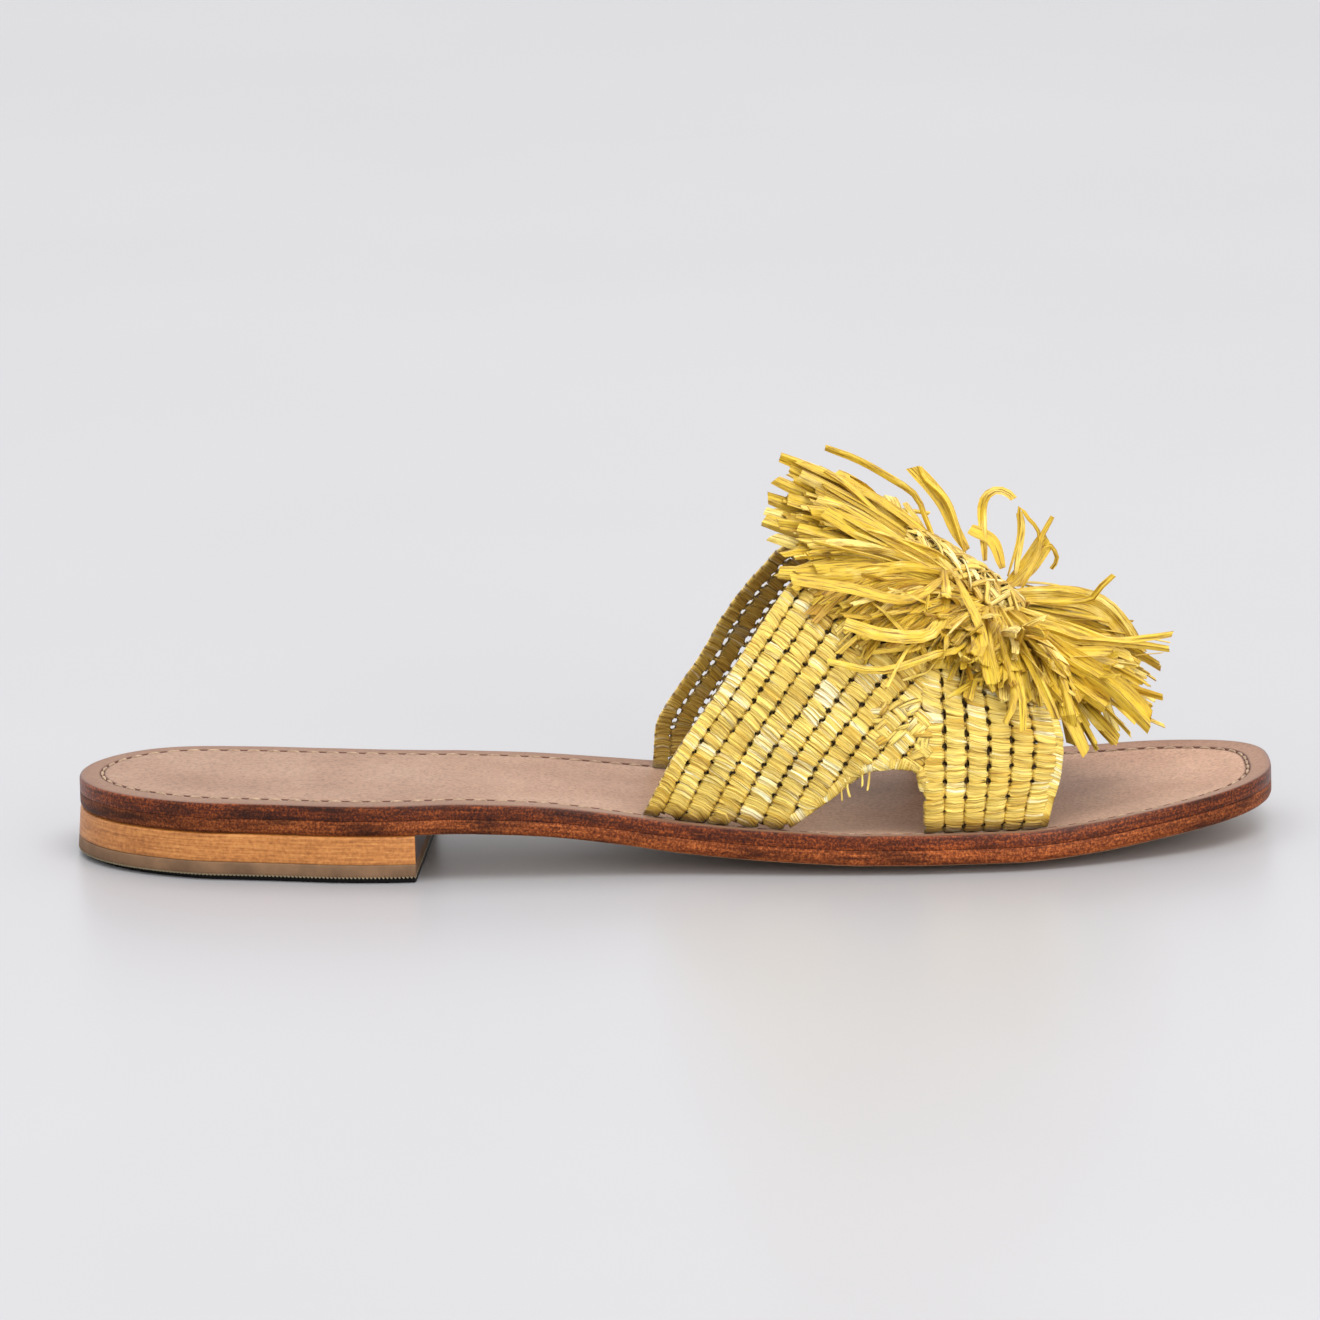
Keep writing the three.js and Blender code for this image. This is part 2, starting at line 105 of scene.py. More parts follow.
# Edges of the vamp over the foot: across is -1 at the outer foot, 0 on the ridge, 1 at the inner foot
BACK_EDGE = np.array([
    [-1, 121], [-0.86, 129], [-0.72, 138], [-0.49, 149.5], [-0.2, 160], [0, 163],
    [0.2, 160], [0.44, 151.2], [0.67, 139.6], [0.77, 134.8], [0.84, 130], [0.93, 124.9], [1, 124.1],
])
FRONT_EDGE = np.array([
    [-1, 206.8], [-0.88, 209.7], [-0.75, 210.4], [-0.6, 209], [-0.38, 206.8], [0, 203],
    [0.38, 205.5], [0.7, 208], [1, 205],
])
MITRE = 180.5
CUT_OUT = np.array([
    [150, 8], [151.9, 10.7], [159.7, 15.1], [163.4, 18], [166.6, 20.3], [169.8, 21.6], [174.3, 22],
    [178.9, 21.5], [180.3, 20], [180.9, 16],
])

# Weave: where the back band's rows begin, how open the front band's rows are, and the pitch of the stitches
ACROSS = np.linspace(-1.3, 1.3, 5001)
BACK_ROWS = np.array([0.2, 3.1, 7.0, 11.4, 15.9, 20.5, 25.1, 29.7, 34.3, 38.9, 43.5, 48.1])
BACK_SLANT = {"flank": 1.2, "ridge": 0.9}
BACK_PAST = {"mitre": 1.2, "cut_out": 0.4}
FRONT_OPEN = [0.6, 1, 1, 0.9, 0.7, 0.35]
FRONT_ROWS = len(FRONT_OPEN)
FRONT_BINDING = 1.2
STITCH = {"back": 2.6, "front": 3.0}
UNEVEN = (0.84, 1.16)
SHOWN_FROM = -1.1

# Stitches: their strands, how they rise over the wall and under it, and how they draw in round the holes
STRANDS = 6
STRAND = {"width": (0.6, 1.4), "groove": (0.04, 0.26), "crown": (-0.16, 0.1), "lean": 0.1, "lift": 0.13}
ROUNDNESS = {"across": 0.55, "up": 0.8}
WALL_MIDDLE = -0.5
STITCH_RISE = {"out": 1.5, "in": 1.1}
INNER_RISE = {"out": 0.85, "in": 0.65}
RIM_RISE = {"out": 1.35, "in": 1.3}
SKEW = 0.1
BOW = {"foot": 0.3, "top": 0.08, "height": 14, "front": 0.1}
PINCH = {"outer": 0.5, "inner": 0.78, "front": 0.66, "foot": 0.5}
PINCH_SPREAD = {"outer": (0.15, 1.1), "inner": (0.8, 1), "front": (0.35, 1.1)}
PINCH_HEIGHT = {"foot": 1.4, "open_from": 5, "open_over": 5, "least": 0.05}
HOLE_TURN = {"outer": (50, 57), "inner": (58, 65), "front": (50, 57)}
JOINT = {"row": (0.2, 0.45), "edge": (0.06, 0.24)}
WARP = {"depth": 1.5, "radius": 0.8, "step": 25, "least": 100}
LAP = {"along": 1.07, "across": 1.06}
TUCK = {"height": 3.5, "depth": 1.3}
CLEAR = {"sole": 0.05, "cut_out": 0.2}

# Tones of the stitches, and the painted shade on them: on the inner face (partly darker raffia there), by a
# hole, in a crease and at the foot
TONE = {"middle": 0.49, "run": 0.11, "stitch": 0.08, "strand": 0.17}
RUN = 7
WRAP = 2.5
SHADE = {"inside": 0.64, "hole": (4, 0.2), "crease": (2.2, 0.75), "foot": (7, 1.4)}

# Bound edges: pitch, half width and slant of the binding
BINDING = 2.1
FRONT_EDGING = {"inset": 1.1, "foot": 0.6, "half": 1.4, "skew": 0.25}
CUT_OUT_EDGING = {"half": 1.25, "skew": 0.2}

# Over the cut-out: short strips on the corner, lift of the rim at places s, and fibres that hang at places s
SCRUNCH = {
    "count": 24, "half": (1.6, 3.2), "s": (-9, 0.5), "across": (0.7, 0.84), "turn": 0.012,
    "angle": (-0.6, 0.35), "lift": (-0.2, 0.15), "dip": 1.3, "roll": 0.15, "width": (1.0, 2.0),
}
RIM_LIFT = ([152, 158], [0, 1.2])
FRAYED = [163.2, 164.4, 167.6, 169.2]
FRAY = {"out": 0.6, "up": 0.8, "drop": (2, 3.6), "curl": 0.6, "roll": 0.3, "width": (0.35, 0.6), "tone": 0.5}

# Tuft: its tie along the ridge, and the rim of its tips: s, y, lowest and topmost height, and how thick
TIE = {"back": (178.5, 3, 63.4), "middle": (191.5, 3, 57.2), "front": (203, 3, 46.2)}
TIE_PATCH = {"near": -1.2, "far": 0.9, "radius": 5.8, "rise": 2.3, "lanes": 6, "stitches": 20, "skew": 0.9}
TIE_WRAPS = 120
TIE_RISE = {"out": 1.1, "in": 1.6}
TUFT_RIM = np.array([
    [153, 4, 72, 81, 2.6], [153, -10, 64, 77, 3.0], [153, -21, 57, 67, 3.0], [157, -27, 51, 58, 2.2],
    [170, -30, 47, 53, 1.9], [184, -33, 42, 48, 2.0], [196, -35, 39, 45, 1.7], [207, -34, 36, 42, 1.2],
    [218, -27, 25, 39, 1.7], [229, -12, 26, 39, 1.6], [234, 4, 31, 42, 1.2], [228, 20, 30, 46, 1],
    [212, 34, 28, 51, 1], [190, 38, 37, 60, 1], [165, 32, 50, 72, 1.2], [154, 18, 65, 79, 1.8],
])
RIM_STEPS = 1600

# Strips of the tuft: how they are made, how many there are, and how they scatter, reach, bend and wave
RIBBON_STEPS = 14
RIBBON_T = np.linspace(0, 1, RIBBON_STEPS)[None, :, None]
RIBBON_WIDTH = ([0, 0.12, 0.5, 0.9, 1], [0.45, 0.7, 1, 1, 0.85])
RIBBON = {"pleat": 0.17, "thick": (0.22, 0.36), "slant": 0.5, "edge": 0.4}
LOCKS = 240
LOCK_STRIPS = (3, 6)
SCATTER = {"lock": 1.5, "strip": 1.3, "root": 0.6}
TUFT_BACK = {"from": 172, "over": 10}
STRIP_REACH = {"least": (0.78, 0.84), "most": (1.04, 1.0)}
STRIP_ARCH = {"place": 0.42, "rise": (0.04, 0.15)}
STRIP_BEND = {"share": (0.5, 0.2), "from": (0.35, 0.8), "swing": (4.5, 3, 4), "calm": 0.35}
STRIP_WAVE = {"turns": (4, 9), "size": 0.4}
STRIP_WIDTH = {"wide": (2.4, 4.2), "narrow": (0.9, 2.2), "wide_share": 0.28}
ROOTS_NEAR = ([149, 160, 175, 190, 205, 235], [0.25, 0.45, 0.7, 0.85, 0.95, 0.98])
ROOTS_FAR = ([149, 235], [0.05, 0.95])
ROOT_SIDE = {"over": 13, "out": 4.8, "down": 0.5, "near": 2.6, "far": 1.6}
SHORT_BITS = {
    "count": 32, "s": (168, 199), "across": (-0.56, -0.3), "out": (1.5, 4), "angle": (-1.9, 0.9),
    "length": (5, 11), "width": (0.9, 2.6),
}

# Where the vamp keeps the tuft out, and by how much
VAMP_SPAN = (112, 240)
TUFT_OVER = (146, 212)
TUFT_CLEAR = 1.5

# Strands that stand out of the tuft: width, then the places s, y, z that each runs through
LOOSE_STRANDS = [
    (3.2, [(192.8, 5, 60.7), (190.4, 7, 64.7), (188.4, 9, 69.8), (185.3, 10, 74.1), (181.7, 10, 78.1)]),
    (1.3, [(192.3, 5, 60.0), (188.9, 8, 70.6), (184.3, 10, 75.5), (183.2, 10, 78.3)]),
    (1.7, [(186.5, 3, 61.0), (183.9, 4, 68.3), (181.9, 5, 73.0), (176.6, 6, 76.8), (169.8, 6, 80.9),
           (162.9, 6, 83.8)]),
    (2.1, [(196.6, 6, 58.0), (196.4, 9, 65.2), (196.4, 10, 68.8), (197.4, 10, 71.4), (199.8, 10, 72.6),
           (202.5, 10, 71.5), (203.3, 10, 70.5)]),
    (0.9, [(201.5, 8, 54.0), (204.1, 10, 62.0), (204.4, 10, 68.6), (206.2, 11, 66.1), (208.3, 12, 63.4),
           (208.7, 12, 60.9)]),
    (3.0, [(200.4, 7, 56.0), (198.4, 8, 61.8), (193.6, 8, 64.7)]),
    (1.6, [(203.2, 9, 54.0), (204.8, 11, 63.5), (204.4, 12, 67.1)]),
    (1.2, [(204.0, 7, 52.0), (208.1, 11, 57.9), (209.1, 12, 61.5), (211.6, 12, 66.0)]),
    (4.2, [(201.5, 8, 52.0), (205.4, 11, 54.7), (208.3, 13, 58.0), (210.5, 14, 61.0)]),
    (1.0, [(204.0, 8, 50.5), (209.9, 13, 59.0), (211.8, 13, 58.4), (212.4, 13, 56.2), (211.1, 13, 54.3)]),
    (1.4, [(204.0, 5, 49.0), (217.8, 4, 49.1), (221.0, 3, 52.0), (224.0, 3, 54.6)]),
    (4.6, [(200.8, 5, 50.5), (213.1, 6, 50.0), (221.1, 6, 47.5), (225.8, 5, 42.6), (228.6, 4, 37.8)]),
    (1.5, [(201.0, 0, 49.5), (215.1, -4, 44.9), (222.9, -6, 42.3), (231.0, -6, 42.6), (235.8, -6, 43.2)]),
    (3.6, [(199.5, -4, 47.8), (204.6, -18, 42.1), (208.4, -25, 36.4), (212.8, -29, 29.0), (215.5, -30, 23.2)]),
    (5.0, [(201.3, -2, 48.6), (210.2, -14, 42.7), (218.3, -19, 38.1), (223.5, -20, 34.3), (229.8, -20, 27.1)]),
    (1.6, [(196.8, -5, 50.6), (199.0, -27, 43.6), (200.3, -36, 36.7), (197.9, -39, 32.1)]),
    (1.6, [(197.9, -5, 50.1), (200.5, -28, 42.6), (201.9, -36, 36.7), (201.8, -39, 30.3)]),
    (2.0, [(199.0, -4, 49.8), (203.0, -23, 44.5), (206.5, -33, 38.0), (209.0, -37, 32.2)]),
    (3.0, [(187.2, -6, 58.6), (187.1, -14, 54.0), (183.1, -28, 49.6), (173.1, -33, 50.7), (164.9, -33, 53.5)]),
    (1.8, [(195.8, -9, 50.4), (193.3, -18, 48.4), (188.6, -30, 46.4), (184.8, -33, 46.4), (172.3, -36, 43.6),
           (160.9, -36, 46.0)]),
    (3.6, [(194.6, -9, 51.0), (194.7, -28, 46.4), (195.8, -37, 40.4)]),
    (2.2, [(189.8, -6, 57.0), (192.1, -14, 53.0), (194.2, -23, 48.6), (194.3, -33, 43.4)]),
    (2.6, [(187.3, -7, 57.4), (178.6, -22, 55.8), (166.8, -26, 59.4), (154.0, -26, 61.8)]),
    (2.4, [(191.0, 2, 57.0), (186.4, 3, 62.6), (174.3, 4, 72.4), (157.4, 4, 81.2)]),
    (2.8, [(191.0, 0, 57.0), (184.4, -2, 62.0), (170.0, -7, 67.0), (152.0, -9, 70.5)]),
    (3.2, [(189.5, -3, 57.4), (179.2, -9, 60.4), (165.8, -20, 61.2), (151.5, -21, 62.4)]),
    (2.6, [(187.5, 3, 60.0), (178.0, 4, 68.5), (166.5, 5, 76.2), (153.2, 5, 82.2)]),
    (2.2, [(187.0, 2, 60.0), (176.5, 3, 67.0), (166.0, 4, 73.6), (155.2, 4, 80.0)]),
    (2.8, [(186.5, 1, 60.0), (175.0, 2, 66.0), (163.5, 2, 71.8), (151.9, 2, 77.9)]),
    (3.0, [(186.0, 0, 59.6), (174.0, 0, 64.8), (162.0, 0, 69.8), (150.2, 0, 74.4)]),
    (2.4, [(186.0, -2, 59.0), (173.0, -3, 63.8), (161.0, -4, 68.4), (149.5, -2, 72.0)]),
    (3.2, [(186.0, -3, 58.6), (172.0, -7, 63.2), (160.0, -8, 67.2), (149.2, -4, 70.4)]),
    (2.8, [(187.0, -4, 58.4), (172.5, -10, 61.8), (161.0, -12, 64.8), (150.7, -8, 67.5)]),
]


# Curves through tables

def column(table, index):
    """A smooth curve through one column of a table, level wherever its rows are level."""
    x = table[:, 0]
    y = table[:, index]
    rise = np.diff(y) / np.diff(x)
    slope = np.concatenate([rise[:1], np.zeros(len(rise) - 1), rise[-1:]])
    same = rise[:-1] * rise[1:] > 0
    total = np.where(same, rise[:-1] + rise[1:], 1)
    slope[1:-1] = np.where(same, 2 * rise[:-1] * rise[1:] / total, 0)

    def at(value):
        value = np.asarray(value, float)
        i = np.clip(np.searchsorted(x, value) - 1, 0, len(x) - 2)
        width = x[i + 1] - x[i]
        t = (value - x[i]) / width
        inside = np.clip(t, 0, 1)
        start = y[i] * (1 + 2 * inside) * (1 - inside) ** 2 + slope[i] * width * inside * (1 - inside) ** 2
        end = y[i + 1] * inside**2 * (3 - 2 * inside) - slope[i + 1] * width * inside**2 * (1 - inside)
        beyond = np.where(t < 0, slope[i] * t * width, np.where(t > 1, slope[i + 1] * (t - 1) * width, 0))
        return start + end + beyond

    return at


def lerp(a, b, t):
    return a + (b - a) * t


def bezier(a, b, c, t):
    return a * (1 - t) ** 2 + 2 * b * t * (1 - t) + c * t * t


def unit(vectors):
    """Vectors of length one."""
    return vectors / np.maximum(np.linalg.norm(vectors, axis=-1, keepdims=True), 1e-9)


def spline(points, count, closed=False):
    """Evenly spaced points on a smooth curve through a few points."""
    points = np.asarray(points, float)
    ahead = np.roll(points, -1, 0) if closed else np.vstack([points[1:], 2 * points[-1] - points[-2]])
    behind = np.roll(points, 1, 0) if closed else np.vstack([2 * points[0] - points[1], points[:-1]])
    slope = (ahead - behind) / 2
    dense = []
    for i in range(len(points) if closed else len(points) - 1):
        j = (i + 1) % len(points)
        t = np.linspace(0, 1, 24, endpoint=False)[:, None]
        dense.append(
            (1 + 2 * t) * (1 - t) ** 2 * points[i] + t * (1 - t) ** 2 * slope[i]
            + t * t * (3 - 2 * t) * points[j] - t * t * (1 - t) * slope[j]
        )
    dense = np.vstack([*dense, points[:1] if closed else points[-1:]])
    return even(dense, count)


def run_length(points):
    """How far along a polyline each of its points is."""
    return np.concatenate([[0], np.cumsum(np.linalg.norm(np.diff(points, axis=0), axis=1))])


def even(points, count):
    """A polyline with its points spread evenly along its length."""
    length = run_length(points[:, :3])
    places = np.linspace(0, length[-1], count)
    return np.stack([np.interp(places, length, points[:, i]) for i in range(points.shape[1])], 1)


# Form of the sole and the vamp

sole_mid = column(SOLE_STATIONS, 1)
sole_widest = column(SOLE_STATIONS, 2)
sole_centre = column(SOLE_STATIONS, 3)
sole_lift = column(SOLE_STATIONS, 4)
vamp_ridge = column(VAMP_STATIONS, 1)
vamp_square = column(VAMP_STATIONS, 2)
back_edge = column(BACK_EDGE, 1)
front_edge = column(FRONT_EDGE, 1)


def end_taper(end, s):
    t = np.clip((s - end["from"]) / (end["tip"] - end["from"]), 0, 1)
    return (1 - t ** end["taper"]) ** (1 / end["round"])


def sole_half(s):
    return sole_widest(s) * end_taper(HEEL_END, s) * end_taper(TOE_END, s)


def underside(s, side):
    """Height of the sole's underside. Side runs from -1 at the outer edge to 1 at the inner edge."""
    out = np.maximum(0, (np.abs(side) - FLAT_TREAD) / (1 - FLAT_TREAD))
    return sole_centre(s) + sole_lift(s) * np.minimum(out, 1) ** 2


def sole_height(x, y, height):
    """Height of a layer of the sole above the floor at a place in plan."""
    s = np.clip(x + LENGTH / 2, HEEL_FLARE, LENGTH)
    side = (y - sole_mid(s)) / np.maximum(sole_half(s), 1e-3)
    return underside(s, np.clip(side, -1, 1)) + height


def sole_top(points):
    """Height of the insole's top under points."""
    return sole_height(points[..., 0], points[..., 1], SOLE)


def at_place(s, y, z):
    return np.stack([np.asarray(s, float) - LENGTH / 2, np.asarray(y, float), np.asarray(z, float)], -1)


def vamp_arch(s):
    """The vamp's arch at s: its middle, half width, foot height, rise and squareness."""
    whole = sole_half(s)
    half = whole - VAMP_INSET
    foot = underside(s, half / whole) + SOLE
    return sole_mid(s), half, foot, vamp_ridge(s) - foot, vamp_square(s)


def vamp_point(s, across):
    """A point of the vamp's wall between its rows. Beyond its feet the wall goes straight down."""
    mid, half, foot, rise, square = vamp_arch(s)
    inside = np.clip(across, -1, 1)
    angle = (1 + inside) * math.pi / 2
    side = -np.cos(angle)
    up = np.maximum(np.sin(angle), 0)
    y = mid + np.sign(side) * half * np.abs(side) ** (2 / square) + RIDGE_SKEW * up
    z = foot + rise * up ** (2 / square) - rise * np.abs(across - inside)
    return np.stack([s - LENGTH / 2, y, z], -1)


def vamp_out(s, across):
    """The way out of the vamp's wall."""
    inside = np.clip(across, -0.96, 0.96)
    along = vamp_point(s + 0.5, inside) - vamp_point(s - 0.5, inside)
    over = vamp_point(s, inside + 0.03) - vamp_point(s, inside - 0.03)
    return unit(np.cross(along, over))


# Meshes

class Body:
    """Closed meshes gathered into one piece, with values stored at their points."""

    def __init__(self):
        self.points = []
        self.faces = []
        self.values = []
        self.count = 0

    def add(self, points, faces, **values):
        self.points.append(points)
        self.faces.extend((face + self.count) for face in faces)
        self.values.append(values)
        self.count += len(points)


def ring_faces(sections, around):
    """Quads between rings of points that follow one another."""
    i, j = np.meshgrid(np.arange(sections - 1), np.arange(around), indexing="ij")
    k = (j + 1) % around
    corners = [i * around + j, i * around + k, (i + 1) * around + k, (i + 1) * around + j]
    return np.stack(corners, -1).reshape(-1, 4)


def loft(body, sections, **values):
    """Adds closed bodies lofted through rings, all ends filled by fans. Sections: bodies, rings, around, 3."""
    n, m, k, _ = sections.shape
    ends = np.stack([sections[:, 0].mean(1), sections[:, -1].mean(1)], 1)
    points = np.concatenate([sections.reshape(n, m * k, 3), ends], 1)
    quads = ring_faces(m, k)
    turn = np.arange(k)
    follow = (turn + 1) % k
    first = np.stack([np.full(k, m * k), follow, turn], -1)
    last = np.stack([np.full(k, m * k + 1), (m - 1) * k + turn, (m - 1) * k + follow], -1)
    size = m * k + 2
    start = (np.arange(n) * size)[:, None, None]
    flat = {}
    for key, value in values.items():
        parts = value.shape[3:]
        whole = np.broadcast_to(value, (n, m, k, *parts))
        caps = np.stack([whole[:, 0].mean(1), whole[:, -1].mean(1)], 1)
        flat[key] = np.concatenate([whole.reshape(n, m * k, *parts), caps], 1).reshape(n * size, *parts)
    tris = np.concatenate([first, last])
    body.add(
        points.reshape(-1, 3),
        [(quads[None] + start).reshape(-1, 4), (tris[None] + start).reshape(-1, 3)],
        **flat,
    )


def round_about(first, second, count):
    """Directions all round a path, from two that are square to it."""
    angle = np.linspace(0, 2 * math.pi, count, endpoint=False)[:, None]
    return np.cos(angle) * first[..., None, :] + np.sin(angle) * second[..., None, :]


def make_piece(name, body, material, slot, *nodes, smooth=True):
    """Makes one Blender mesh of a body, rides it on the part and lets it stand for CAD nodes."""
    mesh = bpy.data.meshes.new(name)
    points = np.concatenate(body.points) * MM
    corners = np.concatenate([face.ravel() for face in body.faces])
    totals = np.concatenate([np.full(len(face), face.shape[1]) for face in body.faces])
    mesh.vertices.add(len(points))
    mesh.vertices.foreach_set("co", points.ravel())
    mesh.loops.add(len(corners))
    mesh.loops.foreach_set("vertex_index", corners)
    mesh.polygons.add(len(totals))
    mesh.polygons.foreach_set("loop_start", np.cumsum(totals) - totals)
    mesh.polygons.foreach_set("use_smooth", np.full(len(totals), smooth))
    for key in body.values[0]:
        data = np.concatenate([values[key] for values in body.values])
        if data.ndim == 1:
            mesh.attributes.new(key, "FLOAT", "POINT").data.foreach_set("value", data)
        else:
            mesh.attributes.new(key, "FLOAT_VECTOR", "POINT").data.foreach_set("vector", data.ravel())
    mesh.update(calc_edges=True)
    mesh.validate()
    mesh.materials.append(material)
    obj = bpy.data.objects.new(name, mesh)
    bpy.context.scene.collection.objects.link(obj)
    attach(obj, BODY)
    if nodes:
        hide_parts(*nodes)


# Materials

class Nodes:
    """Short ways to add and link the nodes of one material."""

    def __init__(self, name):
        self.material = bpy.data.materials.new(name)
        self.material.use_nodes = True
        self.tree = self.material.node_tree
        self.shader = self.tree.nodes["Principled BSDF"]

    def add(self, kind, inputs=(), **settings):
        node = self.tree.nodes.new(kind)
        for key, value in settings.items():
            setattr(node, key, value)
        for key, value in dict(inputs).items():
            self.plug(value, node.inputs[key])
        return node

    def plug(self, value, socket):
        if isinstance(value, bpy.types.NodeSocket):
            self.tree.links.new(value, socket)
        else:
            socket.default_value = value

    def stored(self, name, output="Vector"):
        """A vector or number stored at the mesh's points."""
        return self.add("ShaderNodeAttribute", attribute_name=name).outputs[output]

    def place(self):
        """The place of a point on its piece, in metres."""
        return self.add("ShaderNodeTexCoord").outputs["Object"]

    def part(self, vector, index):
        """One of the three numbers of a vector."""
        return self.add("ShaderNodeSeparateXYZ", {0: vector}).outputs[index]

    def stretched(self, vector, scale):
        return self.add("ShaderNodeVectorMath", {0: vector, 1: scale}, operation="MULTIPLY").outputs[0]

    def noise(self, vector, scale, detail=3.0, rough=0.55):
        inputs = {"Vector": vector, "Scale": scale, "Detail": detail, "Roughness": rough}
        return self.add("ShaderNodeTexNoise", inputs).outputs["Fac"]

    def ramp(self, factor, *stops):
        node = self.add("ShaderNodeValToRGB", {"Fac": factor})
        elements = node.color_ramp.elements
        while len(elements) < len(stops):
            elements.new(0.5)
        for element, (place, colour) in zip(elements, stops):
            element.position = place
            element.color = colour
        return node.outputs["Color"]

    def mix(self, factor, a, b, blend="MIX"):
        node = self.add("ShaderNodeMix", data_type="RGBA", blend_type=blend)
        self.plug(factor, node.inputs["Factor"])
        self.plug(a, node.inputs[6])
        self.plug(b, node.inputs[7])
        return node.outputs[2]

    def fade(self, factor, *stops):
        """A ramp of greys, each stop a place and a value."""
        return self.ramp(factor, *[(place, grey(value)) for place, value in stops])

    def tint(self, colour, shade):
        return self.mix(1.0, colour, shade, "MULTIPLY")

    def math(self, operation, a, b):
        return self.add("ShaderNodeMath", {0: a, 1: b}, operation=operation).outputs[0]

    def forward(self, place):
        """How far along the shoe a place is, from 0 at the heel to 1 at the toe."""
        return self.math("ADD", self.math("DIVIDE", self.part(place, 0), LENGTH * MM), 0.5)

    def bump(self, height, strength, distance):
        inputs = {"Height": height, "Strength": strength, "Distance": distance}
        self.plug(self.add("ShaderNodeBump", inputs).outputs["Normal"], self.shader.inputs["Normal"])

    def set(self, **inputs):
        for key, value in inputs.items():
            self.plug(value, self.shader.inputs[key.replace("_", " ")])


def rgb(red, green, blue):
    """A colour given as it shows on a screen, 0 to 255."""
    def linear(value):
        value /= 255
        return value / 12.92 if value <= 0.04045 else ((value + 0.055) / 1.055) ** 2.4
    return (linear(red), linear(green), linear(blue), 1)


def grey(value):
    return (value, value, value, 1)


# Painted shade colours for the raffia: the crease shade and the deepest shade
CREASE_SHADE = rgb(156, 113, 14)
DEEPEST_SHADE = rgb(70, 42, 8)


def raffia_material(name, pale, mid, ochre, vein, fineness=2.6):
    """Raffia strands: a tone for each strand, streaks along its fibres, and painted shade from a value stored
    on the mesh.
    """
    n = Nodes(name)
    fibre = n.stored("fibre")
    streaks = n.noise(n.stretched(fibre, (0.14, fineness, 1)), 1.0, 4.0, 0.68)
    patches = n.noise(n.stretched(fibre, (0.25, 0.4, 1)), 0.8, 2.0)
    spread = n.math("ADD", n.stored("tone", "Fac"), n.math("MULTIPLY", n.math("SUBTRACT", patches, 0.5), 0.7))
    base = n.ramp(spread, (0.05, ochre), (0.42, mid), (0.62, mid), (0.92, pale))
    lines = n.ramp(streaks, (0.34, vein), (0.49, grey(0.95)), (0.68, grey(1.2)))
    # Painted shade: depth is the stored shade plus the streaks, and dark is the shade colour it mixes in
    depth = n.math("ADD", n.stored("deep", "Fac"), n.math("MULTIPLY", n.math("SUBTRACT", 0.5, streaks), 0.6))
    dark = n.ramp(depth, (0.3, ochre), (0.6, CREASE_SHADE), (0.95, DEEPEST_SHADE))
    share = n.fade(depth, (0.1, 0), (0.8, 0.9))
    n.set(Base_Color=n.mix(share, n.tint(base, lines), dark), Roughness=0.42)
    n.set(Specular_IOR_Level=0.5, Sheen_Weight=0.1, Sheen_Roughness=0.4)
    n.bump(streaks, 0.8, 0.0004)
    return n.material


def insole_material():
    """Beige lining leather with a darker rim, painted shade in the stitch groove, painted light towards the
    toe, and a burnished brown edge.
    """
    n = Nodes("insole_leather")
    place = n.place()
    edge = n.stored("edge")
    inset = n.part(edge, 0)
    clouds = n.noise(place, 45.0, 5.0)
    grain = n.noise(place, 1400.0, 3.0)
    top = n.ramp(clouds, (0.25, rgb(132, 100, 80)), (0.5, rgb(147, 115, 94)), (0.78, rgb(158, 128, 107)))
    top = n.tint(top, n.fade(grain, (0.3, 0.7), (0.55, 1.07), (0.8, 1.25)))
    # Painted light: lighter towards the toe, to lift the shade under the vamp and the tuft
    top = n.tint(top, n.fade(n.forward(place), (0.28, 1), (0.48, 1.2), (0.64, 1.5)))
    near = n.math("DIVIDE", inset, 10.0)
    rim = n.fade(near, (0.07, 0.85), (0.13, 0.6), (0.44, 0.48), (0.5, 0))
    top = n.mix(rim, top, rgb(112, 78, 60))
    # Painted shade in the stitch groove
    apart = n.math("ABSOLUTE", n.math("SUBTRACT", inset, GROOVE_INSET), 0.0)
    top = n.mix(n.fade(apart, (0.45, 0.9), (0.85, 0)), top, rgb(78, 40, 26))
    side = burnished_edge(n, edge, place, rgb(26, 9, 6), rgb(94, 40, 18), rgb(170, 86, 36), 1.0)
    nearest = n.math("DIVIDE", inset, 2.0)
    wrap = n.fade(nearest, (0.1, 0), (0.3, 1))
    gloss = n.fade(nearest, (0.2, 0.36), (0.6, 0.55))
    n.set(Base_Color=n.mix(wrap, side, top), Roughness=gloss, Specular_IOR_Level=0.2)
    n.bump(grain, 0.25, 0.0002)
    return n.material


def burnished_edge(n, edge, place, dark, middle, light, heel):
    """Colour of a burnished leather edge: mottled, streaked along it, stained, and with painted light and shade
    along the shoe.
    """
    mottle = n.noise(place, 1900.0, 3.0, 0.7)
    streaks = n.noise(n.stretched(edge, (0, 0.07, 1.5)), 1.0, 4.0, 0.6)
    mixed = n.math("ADD", n.math("MULTIPLY", mottle, 0.65), n.math("MULTIPLY", streaks, 0.35))
    side = n.ramp(mixed, (0.34, dark), (0.5, middle), (0.66, light))
    stains = n.noise(n.stretched(edge, (0, 0.06, 0.35)), 1.0, 5.0, 0.65)
    side = n.mix(n.fade(stains, (0.48, 0), (0.66, 0.8)), side, dark)
    # Painted light and shade along the shoe: heel sets the heel end, the waist and toe tip are darker, the ball
    # lighter
    shades = [(0, heel), (0.25, 0.72), (0.55, 0.95), (0.74, 1.15), (0.95, 0.75)]
    return n.tint(side, n.fade(n.forward(place), *shades))


